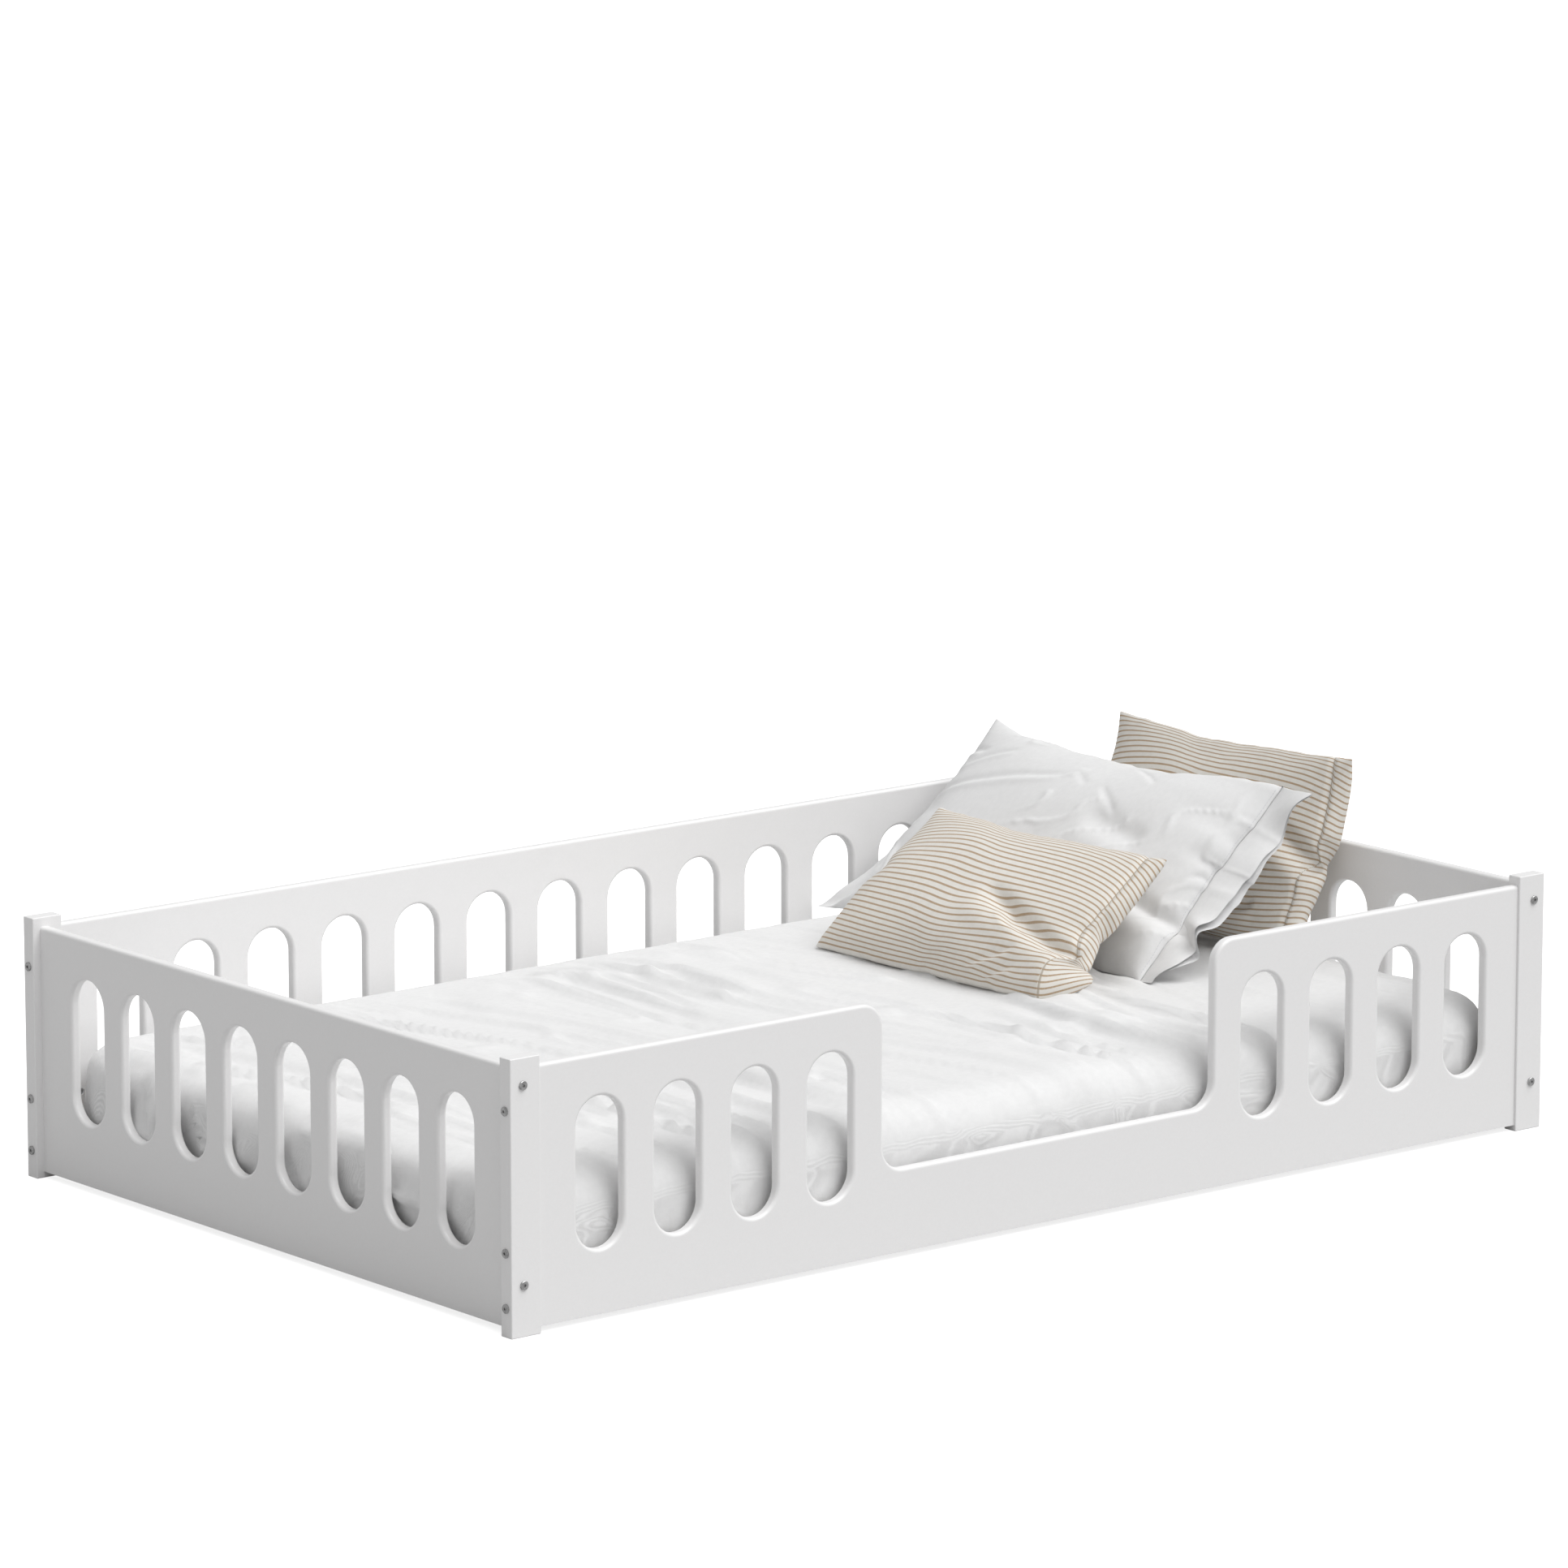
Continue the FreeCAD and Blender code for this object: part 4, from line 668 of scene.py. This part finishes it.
# Stuffing fills out most of an airtight bag's buckles: what each row adds to the flat cut is averaged along
# the row, fully in the middle and not at all at the ends.
def filledOut(layers, look):
    _, v, flat = flatPlaces(layers, look)
    base = np.concatenate([flat, 0 * flat[..., :1]], axis=2)
    added = layers - base
    share = (look["evenness"] * (1 - np.abs(v) ** 5))[..., None]
    return base + added * (1 - share) + np.apply_along_axis(evened, 2, added, 45) * share


# A stuffed case keeps its sides straighter than an airtight bag does. Opposite sides are drawn back towards
# the cut rectangle, and the points between them move in proportion to their distance.
def straightened(layers, look):
    half = (look["height"] / 2, look["length"] / 2)
    for axis in (0, 1):
        ends = layers.take([0, -1], axis=axis + 1)[0, ..., axis]
        lower, upper = (ends[0], ends[-1]) if axis == 0 else (ends[:, 0], ends[:, -1])
        keepLow, keepHigh = look["sideShare"][axis]
        low, high = evened(lower + half[axis]) * (1 - keepLow), evened(upper - half[axis]) * (1 - keepHigh)
        share = np.linspace(0, 1, layers.shape[axis + 1])
        move = np.outer(1 - share, low) + np.outer(share, high)
        layers[..., axis] -= move if axis == 0 else move.T
    return layers


# moves the cloth around a spot by an offset that fades out with flat distance: (u, v, radius, move)
def pulled(layers, flat, look):
    half = np.array([look["height"], look["length"]]) / 2
    for u, v, radius, move in look["pulls"]:
        away = np.linalg.norm(flat - half * np.array([u, v]), axis=2)
        layers = layers + bell(away, radius)[None, :, :, None] * np.array(move)
    return layers


# how far each flat point lies from a line of (u, v) spots: share run, signed distance
def alongLine(flat, look, line):
    spots = np.array(line) * np.array([look["height"], look["length"]]) / 2
    lengths = np.linalg.norm(np.diff(spots, axis=0), axis=1)
    starts = np.concatenate([[0], np.cumsum(lengths)])
    nearest, run, signed = np.full(flat.shape[:2], np.inf), np.zeros(flat.shape[:2]), np.zeros(flat.shape[:2])
    for i, reach in enumerate(lengths):
        step = (spots[i + 1] - spots[i]) / reach
        t = (flat - spots[i]) @ step
        side = (flat - spots[i]) @ np.array([step[1], -step[0]])
        over = t - np.clip(t, 0, reach)
        away = np.hypot(side, over)
        closer = away < nearest
        nearest, run = np.where(closer, away, nearest), np.where(closer, (starts[i] + t) / starts[-1], run)
        signed = np.where(closer, np.where(side < 0, -away, away), signed)
    return run, signed


# valleys pressed into the front, each with a swelling beside it where the filling is pushed up
def folded(layers, flat, look):
    for line, width, depth, swell, swellAt, swellWidth in look["folds"]:
        run, away = alongLine(flat, look, line)
        inside = ramp(run, -0.12, 0.22) * (1 - ramp(run, 0.85, 1.15))
        layers[0, ..., 2] += inside * (swell * bell(away - swellAt, swellWidth) - depth * bell(away, width))
    return layers


# the pillow before its folds: it thins towards the top as it sags, and the top curls forward with u^4
def stuffed(look):
    layers = straightened(filledOut(swollen(look), look), look)
    u, v, flat = flatPlaces(layers, look)
    layers[..., 2] = layers[..., 2] * (1 - look["sag"] * u) + look["curl"] * np.maximum(u, 0) ** 4
    return layers, u, v, flat


# the cross product of the two grid directions, turned outward on the back layer
def surfaceNormals(layers):
    normals = np.cross(np.gradient(layers, axis=1), np.gradient(layers, axis=2))
    normals[1] *= -1
    return normals / np.maximum(np.linalg.norm(normals, axis=-1, keepdims=True), 1e-12)


# leans the pillow back, turns it a little on the bed, and rests it on the sheet
def placed(layers, look, body):
    lean, swing = math.radians(look["lean"]), math.radians(look["swing"])
    turn = np.array(Matrix.Rotation(swing, 3, "Z") @ Matrix.Rotation(-lean, 3, "Y"))
    low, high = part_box(body + "_filling")
    layers = layers @ turn.T + np.array((low + high) / 2 + Vector(look["shift"]))
    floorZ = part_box("fitted_sheet")[1].z + sheetLook["crown"]
    above = layers[..., 2] - floorZ
    ease = 0.006  # cloth nearer the sheet than this is eased onto it, and none sinks in
    layers[..., 2] = floorZ + np.where(above > ease, above, ease * np.exp(np.minimum(above, ease) / ease - 1))
    return layers


# thread stitches: short six-sided pills that lie on the cloth along a row of points
def stitchRow(name, path, outward, body, look, pitch=0.0058, share=0.62, radius=0.0005):
    run = np.concatenate([[0], np.cumsum(np.linalg.norm(np.diff(path, axis=0), axis=1))])
    starts = np.arange(pitch, run[-1] - pitch, pitch)
    def sample(values, at):
        return np.stack([np.interp(at, run, values[:, i]) for i in range(3)], axis=1)
    head, tail, normal = sample(path, starts), sample(path, starts + pitch * share), sample(outward, starts)
    normal /= np.linalg.norm(normal, axis=1, keepdims=True)
    along = (tail - head) / np.linalg.norm(tail - head, axis=1, keepdims=True)
    side = np.cross(along, normal)
    turns = np.linspace(0, 2 * math.pi, 6, endpoint=False)
    rings = []
    for t, fat in ((-0.06, 0.15), (0.08, 0.8), (0.5, 1.0), (0.92, 0.8), (1.06, 0.15)):
        centre = head + (tail - head) * t + normal * radius * 0.5
        circle = side[:, None, :] * np.cos(turns)[None, :, None] + normal[:, None, :] * np.sin(turns)[None, :, None]
        rings.append(centre[:, None, :] + circle * radius * fat)
    points = np.stack(rings, axis=1)  # stitch, ring, corner
    numbers = np.arange(len(starts) * 30).reshape(-1, 5, 6)  # five rings of six points a stitch
    closed = np.concatenate([numbers, numbers[:, :, :1]], axis=2)
    corners = [closed[:, :-1, :-1], closed[:, :-1, 1:], closed[:, 1:, 1:], closed[:, 1:, :-1]]
    ends = [numbers[:, 0, [3, 2, 1, 0]], numbers[:, 0, [0, 5, 4, 3]], numbers[:, -1, [0, 1, 2, 3]],
            numbers[:, -1, [3, 4, 5, 0]]]
    faces = np.concatenate([np.stack(corners, axis=-1).reshape(-1, 4)] + ends)
    piece = meshObject(name, points.reshape(-1, 3), faces)
    wear(piece, look)
    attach(piece, body)


def finishPillow(name, body, points, faces, uv, slot):
    piece = meshObject(name, points, faces, uv)
    smoother = piece.modifiers.new("smoother", "SUBSURF")
    smoother.levels = smoother.render_levels = 1
    wear(piece, slot)
    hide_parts(body + "_case", body + "_filling")
    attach(piece, body)


# how far each flat place lies from the nearest rim
def rimDistance(u, v, look):
    return np.minimum((1 - np.abs(u)) * look["height"], (1 - np.abs(v)) * look["length"]) / 2


# Small puckers gather along the rims, smaller ones along the sewn line, and a slow unevenness lies all over.
# Each is noise on the flat places times a bell of the distance from the rim or from the stitches.
def puckers(u, v, flat, look):
    x, y = flat[..., 0], flat[..., 1]
    uneven = softNoise(x / 0.06, y / 0.13, look["seed"])
    rims = softNoise(x / 0.040, y / 0.019, look["seed"] + 1) * bell(rimDistance(u, v, look), 0.026)
    fromSeam = (1 + v) * look["length"] / 2 - look["stitchInset"]
    seam = softNoise(x / 0.012, y / 0.035, look["seed"] + 2) * bell(fromSeam, 0.020)
    return look["uneven"] * uneven + look["pucker"] * rims + look["seamPucker"] * seam


# a small pillow with a row of stitches near its front end, in a groove along which the stripes miss
def makeStripedPillow(name, body, look):
    layers, u, v, flat = stuffed(look)
    inset = (1 + v) * look["length"] / 2 - look["stitchInset"]
    groove = np.minimum(bell(inset, 0.005) * look["groove"], np.abs(layers[..., 2]) * 0.5)
    if "turnBack" in look:
        groove *= 1 - ramp(-u, -look["turnBack"][0], 0.7)
    layers[..., 2] -= np.sign(layers[..., 2]) * groove
    layers = folded(layers, flat, look)
    # the strip beyond the sewn line is turned back at its lower end
    across = np.clip(-inset / look["stitchInset"], 0, 1)
    if "turnBack" in look:
        top, move = look["turnBack"]
        layers += (across * ramp(-u, -top, 1.0))[None, :, :, None] * np.array(move)
    layers = pulled(layers, flat, look)
    layers += surfaceNormals(layers) * puckers(u, v, flat, look)[None, :, :, None]
    layers = placed(layers, look, body)
    cloth = flat + np.stack([look["jog"] * ramp(-inset, 0, 0.005), 0 * u], axis=2)
    points, uv = joined(layers), joined(np.stack([cloth, cloth]))
    finishPillow(name, body, points, bagFaces(u.shape), uv, "striped_cotton")
    normals = surfaceNormals(layers)
    column = int(np.argmin(np.abs(inset[0])))
    for side, label in ((0, "Front"), (1, "Back")):
        stitchRow(name + label + "Stitches", layers[side, 2:-2, column], normals[side, 2:-2, column], body,
                  "thread")


# What the two striped pillows share. In each pillow, folds give a line of (u, v) spots, the valley's width and
# depth, and the swelling's height, distance and width; pulls give u, v, a radius and a move; turnBack gives
# the u below which the strip past the stitches moves, and its move. The sides keep their sideShare of bend.
stripedPillow = {
    "height": 0.334, "length": 0.548, "thickness": 0.122, "cutHeight": 0.37, "cutLength": 0.58, "cell": 0.0092,
    "stiffness": 40.0, "bending": 0.6, "pressure": 6.0, "volume": 0.0095, "frames": 30,
    "fullness": 0.72, "evenness": 0.85, "sideShare": ((0.0, 0.20), (0.12, 0.12)), "sag": 0.12, "fill": 0.6,
    "stitchInset": 0.038, "groove": 0.006, "jog": 0.0036, "uneven": 0.0010, "seamPucker": 0.0007,
}
frontPillow = {
    **stripedPillow, "lean": 34.5, "swing": 1.6, "shift": (0, 0, 0), "curl": 0.008, "pucker": 0.0011, "seed": 41,
    "folds": [
        (((0.00, -0.12), (-0.18, -0.40), (-0.40, -0.76), (-0.42, -0.92)), 0.012, 0.019, 0.008, 0.032, 0.019),
        (((-0.14, -0.33), (-0.30, -0.46), (-0.34, -0.56)), 0.006, 0.006, 0.004, 0.011, 0.006),
        (((-0.80, -0.36), (-0.54, -0.60)), 0.008, 0.004, 0.003, 0.012, 0.008),
        (((-0.90, -0.50), (-0.72, -0.66)), 0.007, 0.004, 0.003, 0.011, 0.007),
    ],
    "turnBack": (-0.38, (0.084, -0.014, -0.030)),
    "pulls": [(-1.0, -0.86, 0.045, (-0.004, -0.034, 0.004)), (-0.42, -0.88, 0.034, (0, -0.022, 0)),
              (-0.72, -0.86, 0.030, (0, -0.008, 0.012)), (-0.55, -0.35, 0.060, (0, 0, 0.003))],
}
backPillow = {
    **stripedPillow, "lean": 69.0, "swing": 2.0, "shift": (0.009, -0.010, 0.004), "curl": 0.018,
    "pucker": 0.0010, "seed": 51,
    "folds": [
        (((0.20, -0.46), (0.02, -0.72), (-0.14, -1.0)), 0.013, 0.018, 0.012, 0.032, 0.020),
        (((-0.62, -0.20), (-0.50, -0.55)), 0.012, 0.012, 0.006, 0.024, 0.014),
    ],
    "pulls": [(-0.14, -1.0, 0.022, (0, 0.012, -0.006)), (-0.60, -1.0, 0.070, (0, 0.020, 0.004))],
}
makeStripedPillow("frontPillowStriped", "front_pillow", frontPillow)
print("front pillow made")
makeStripedPillow("backPillowStriped", "back_pillow", backPillow)
print("back pillow made")

whitePillow = {
    "height": 0.404, "length": 0.742, "thickness": 0.148, "cutHeight": 0.445, "cutLength": 0.775, "cell": 0.0112,
    "stiffness": 40.0, "bending": 0.6, "pressure": 6.0, "volume": 0.0180, "frames": 30,
    "fullness": 0.78, "evenness": 0.7, "sideShare": ((0.0, 0.22), (0.2, 0.2)), "sag": 0.10, "fill": 0.55,
    "lean": 40.5, "swing": -1.6, "shift": (0.004, 0, -0.004), "curl": 0.012, "seed": 61,
    "hem": 0.058, "hemRows": 10, "fan": 0.0028, "gather": 0.0014, "crinkle": 0.0034,
    "folds": [
        (((0.15, 0.92), (0.31, 0.55), (0.47, 0.18)), 0.006, 0.0040, 0.0030, 0.010, 0.007),
        (((0.46, 0.82), (0.63, 0.59)), 0.006, 0.0035, 0.0025, 0.010, 0.007),
        (((0.67, 0.95), (0.61, 0.79)), 0.006, 0.0040, 0.0030, 0.010, 0.007),
        (((0.54, 0.12), (0.42, 0.00)), 0.005, 0.0022, 0.0004, 0.008, 0.005),
        (((0.42, -0.11), (0.23, -0.28)), 0.005, 0.0028, 0.0005, 0.009, 0.005),
        (((0.80, -0.14), (0.57, -0.35)), 0.005, 0.0026, 0.0005, 0.009, 0.005),
        (((0.17, -0.16), (0.09, -0.50)), 0.018, 0.0080, 0.0030, 0.034, 0.020),
        (((-0.28, -0.52), (-0.42, -0.84), (-0.46, -1.0)), 0.014, 0.0180, 0.0120, 0.034, 0.022),
        (((-0.96, 0.96), (-0.66, 0.84), (-0.44, 0.84)), 0.007, 0.0130, 0.0090, 0.017, 0.009),
        (((-0.86, 1.0), (-0.50, 0.98)), 0.006, 0.0100, 0.0060, 0.013, 0.008),
        (((-0.40, 0.98), (-0.10, 0.90)), 0.007, 0.0090, 0.0050, 0.015, 0.010),
    ],
    "pulls": [(1.0, 1.0, 0.05, (0.014, 0.006, 0.004)), (-1.0, 1.0, 0.06, (-0.045, 0.040, 0.026)),
              (1.0, -0.9, 0.22, (0.010, 0, 0.012)), (-0.85, -1.0, 0.07, (0, -0.006, 0.004))],
}


# The open hem carries the case on past the seam as a flattened tube whose mouth waves. Going out from the
# seam by a share of its width, the two layers part a little; the lower end is folded over in an S.
def hemRows(layers, look):
    seam = np.concatenate([layers[0, :, 0], layers[1, -2:0:-1, 0]])
    rows = layers.shape[1]
    side = np.concatenate([np.ones(rows), -np.ones(rows - 2)])
    u = np.concatenate([np.linspace(-1, 1, rows), np.linspace(1, -1, rows)[1:-1]])
    result = []
    for share in np.linspace(0, 1, look["hemRows"] + 1)[1:]:
        reach = look["hem"] * share * (1 - 0.16 * bell(u - 0.70, 0.16) + 0.18 * bell(u - 1, 0.12)
                                          - 0.15 * bell(u + 0.62, 0.12) - 0.55 * bell(u + 1.0, 0.2))
        gape = side * (0.0015 + 0.007 * share * bell(u + 0.1, 0.6)) * (1 - u ** 6)
        wave = share ** 1.4 * (
            0.014 * bell(u - 0.86, 0.13) - 0.012 * bell(u - 0.62, 0.16) - 0.010 * bell(u - 0.1, 0.4)
            + 0.026 * bell(u + 0.40, 0.09) - 0.014 * bell(u + 0.60, 0.11) + 0.012 * bell(u + 0.92, 0.16))
        slip = share * (0.006 * softNoise(u * 3 + 4, share + 0 * u, look["seed"] + 5) - 0.012 * bell(u + 0.45, 0.12))
        result.append(seam + np.stack([slip, -reach, gape + wave - 0.010 * share ** 1.5], axis=1))
    return result, u


# soft folds fan out from the seam, puckers gather along the rims, and fine crinkles stand in places where a
# slanted noise crosses zero
def crinkles(u, v, flat, look):
    x, y = flat[..., 0], flat[..., 1]
    fan = softNoise(x / 0.034 + 0.8 * v, y / 0.15, look["seed"]) * ramp(-v, 0.15, 0.75)
    gather = softNoise(x / 0.05, y / 0.022, look["seed"] + 1) * bell(rimDistance(u, v, look), 0.03)
    crossing = 1 - np.abs(softNoise(x / 0.030 + y / 0.10, y / 0.09, look["seed"] + 2))
    crinkle = ramp(crossing, 0.80, 1.0) * ramp(softNoise(x / 0.09, y / 0.12, look["seed"] + 3), 0.0, 0.5)
    return look["fan"] * fan + look["gather"] * gather + look["crinkle"] * crinkle


# the large pillow: its case goes on past the sewn line as the open hem
def makeWhitePillow(look):
    layers, u, v, flat = stuffed(look)
    layers = pulled(folded(layers, flat, look), flat, look)
    layers += surfaceNormals(layers) * crinkles(u, v, flat, look)[None, :, :, None]
    hem, hemU = hemRows(layers, look)
    points = np.concatenate([joined(layers)] + hem)
    front, back = layerNumbers(u.shape)
    ring = np.concatenate([front[:, 0], back[-2:0:-1, 0]])
    bagCount = len(points) - len(hem) * len(ring)
    bands = np.concatenate([ring[None], bagCount + np.arange(len(hem) * len(ring)).reshape(len(hem), -1)])
    bands = np.concatenate([bands, bands[:, :1]], axis=1)
    points = placed(points, look, "white_pillow")
    hemUv = [np.stack([hemU * look["height"] / 2, -look["length"] / 2 - look["hem"] * share + 0 * hemU], axis=1)
             for share in np.linspace(0, 1, look["hemRows"] + 1)[1:]]
    uv = np.concatenate([joined(np.stack([flat, flat]))] + hemUv)
    faces = np.concatenate([bagFaces(u.shape), gridFaces(bands, flip=True)])
    finishPillow("whitePillow", "white_pillow", points, faces, uv, "white_cotton")
    layers = placed(layers, look, "white_pillow")
    normals = surfaceNormals(layers)
    stitchRow("whitePillowHemStitches", layers[0, 2:-2, 1], normals[0, 2:-2, 1], "white_pillow",
              "white_thread", radius=0.0004)


makeWhitePillow(whitePillow)
print("white pillow made")


studioLook = {"floorColour": (0.50, 0.50, 0.50, 1), "floorGlow": 0.80, "sky": 0.50, "keyPower": 2.4,
              "keyFrom": (0.24, -0.43, 0.87), "keyWidth": 50.0}


# the floor is lit as grey paper, and looks white because the camera's own rays see an added glow
def makeFloor():
    size = 60.0
    points = np.array([[-size, -size, 0], [size, -size, 0], [size, size, 0], [-size, size, 0]], float)
    floor = meshObject("studioFloor", points, np.array([[0, 1, 2, 3]]), smooth=False)
    material, tree, shader = startMaterial("paleFloor", Roughness=0.9, Base_Color=studioLook["floorColour"],
                                           Emission_Color=(1, 1, 1, 1))
    rays = tree.nodes.new("ShaderNodeLightPath")
    glow = math2(tree, "MULTIPLY", rays.outputs["Is Camera Ray"], studioLook["floorGlow"])
    tree.links.new(glow, shader.inputs["Emission Strength"])
    floor.data.materials.append(material)


def makeLights():
    key = bpy.data.lights.new("keyLight", "SUN")
    key.energy, key.angle = studioLook["keyPower"], math.radians(studioLook["keyWidth"])
    lamp = bpy.data.objects.new("keyLight", key)
    bpy.context.scene.collection.objects.link(lamp)
    lamp.rotation_euler = Vector(studioLook["keyFrom"]).to_track_quat("Z", "Y").to_euler()
    world = bpy.data.worlds.new("studioWorld")
    world.use_nodes = True
    background = world.node_tree.nodes["Background"]
    background.inputs["Color"].default_value = (1, 1, 1, 1)
    background.inputs["Strength"].default_value = studioLook["sky"]
    bpy.context.scene.world = world


cameraView = {"place": (-7.915, -9.758, 3.1116), "yaw": 38.98, "pitch": 11.33, "lens": 187.0, "sensor": 36.0}


def makeCamera():
    lens = bpy.data.cameras.new("productCamera")
    lens.lens = cameraView["lens"]
    lens.sensor_width = cameraView["sensor"]
    lens.clip_end = 200  # the camera stands 13 m away, and the floor reaches far behind the bed
    thing = bpy.data.objects.new("productCamera", lens)
    bpy.context.scene.collection.objects.link(thing)
    thing.location = cameraView["place"]
    thing.rotation_euler = (math.radians(90 - cameraView["pitch"]), 0, math.radians(-cameraView["yaw"]))
    bpy.context.scene.camera = thing


makeFloor()
makeLights()
makeCamera()
bpy.context.scene.view_settings.view_transform = "Standard"
print("scene ready")
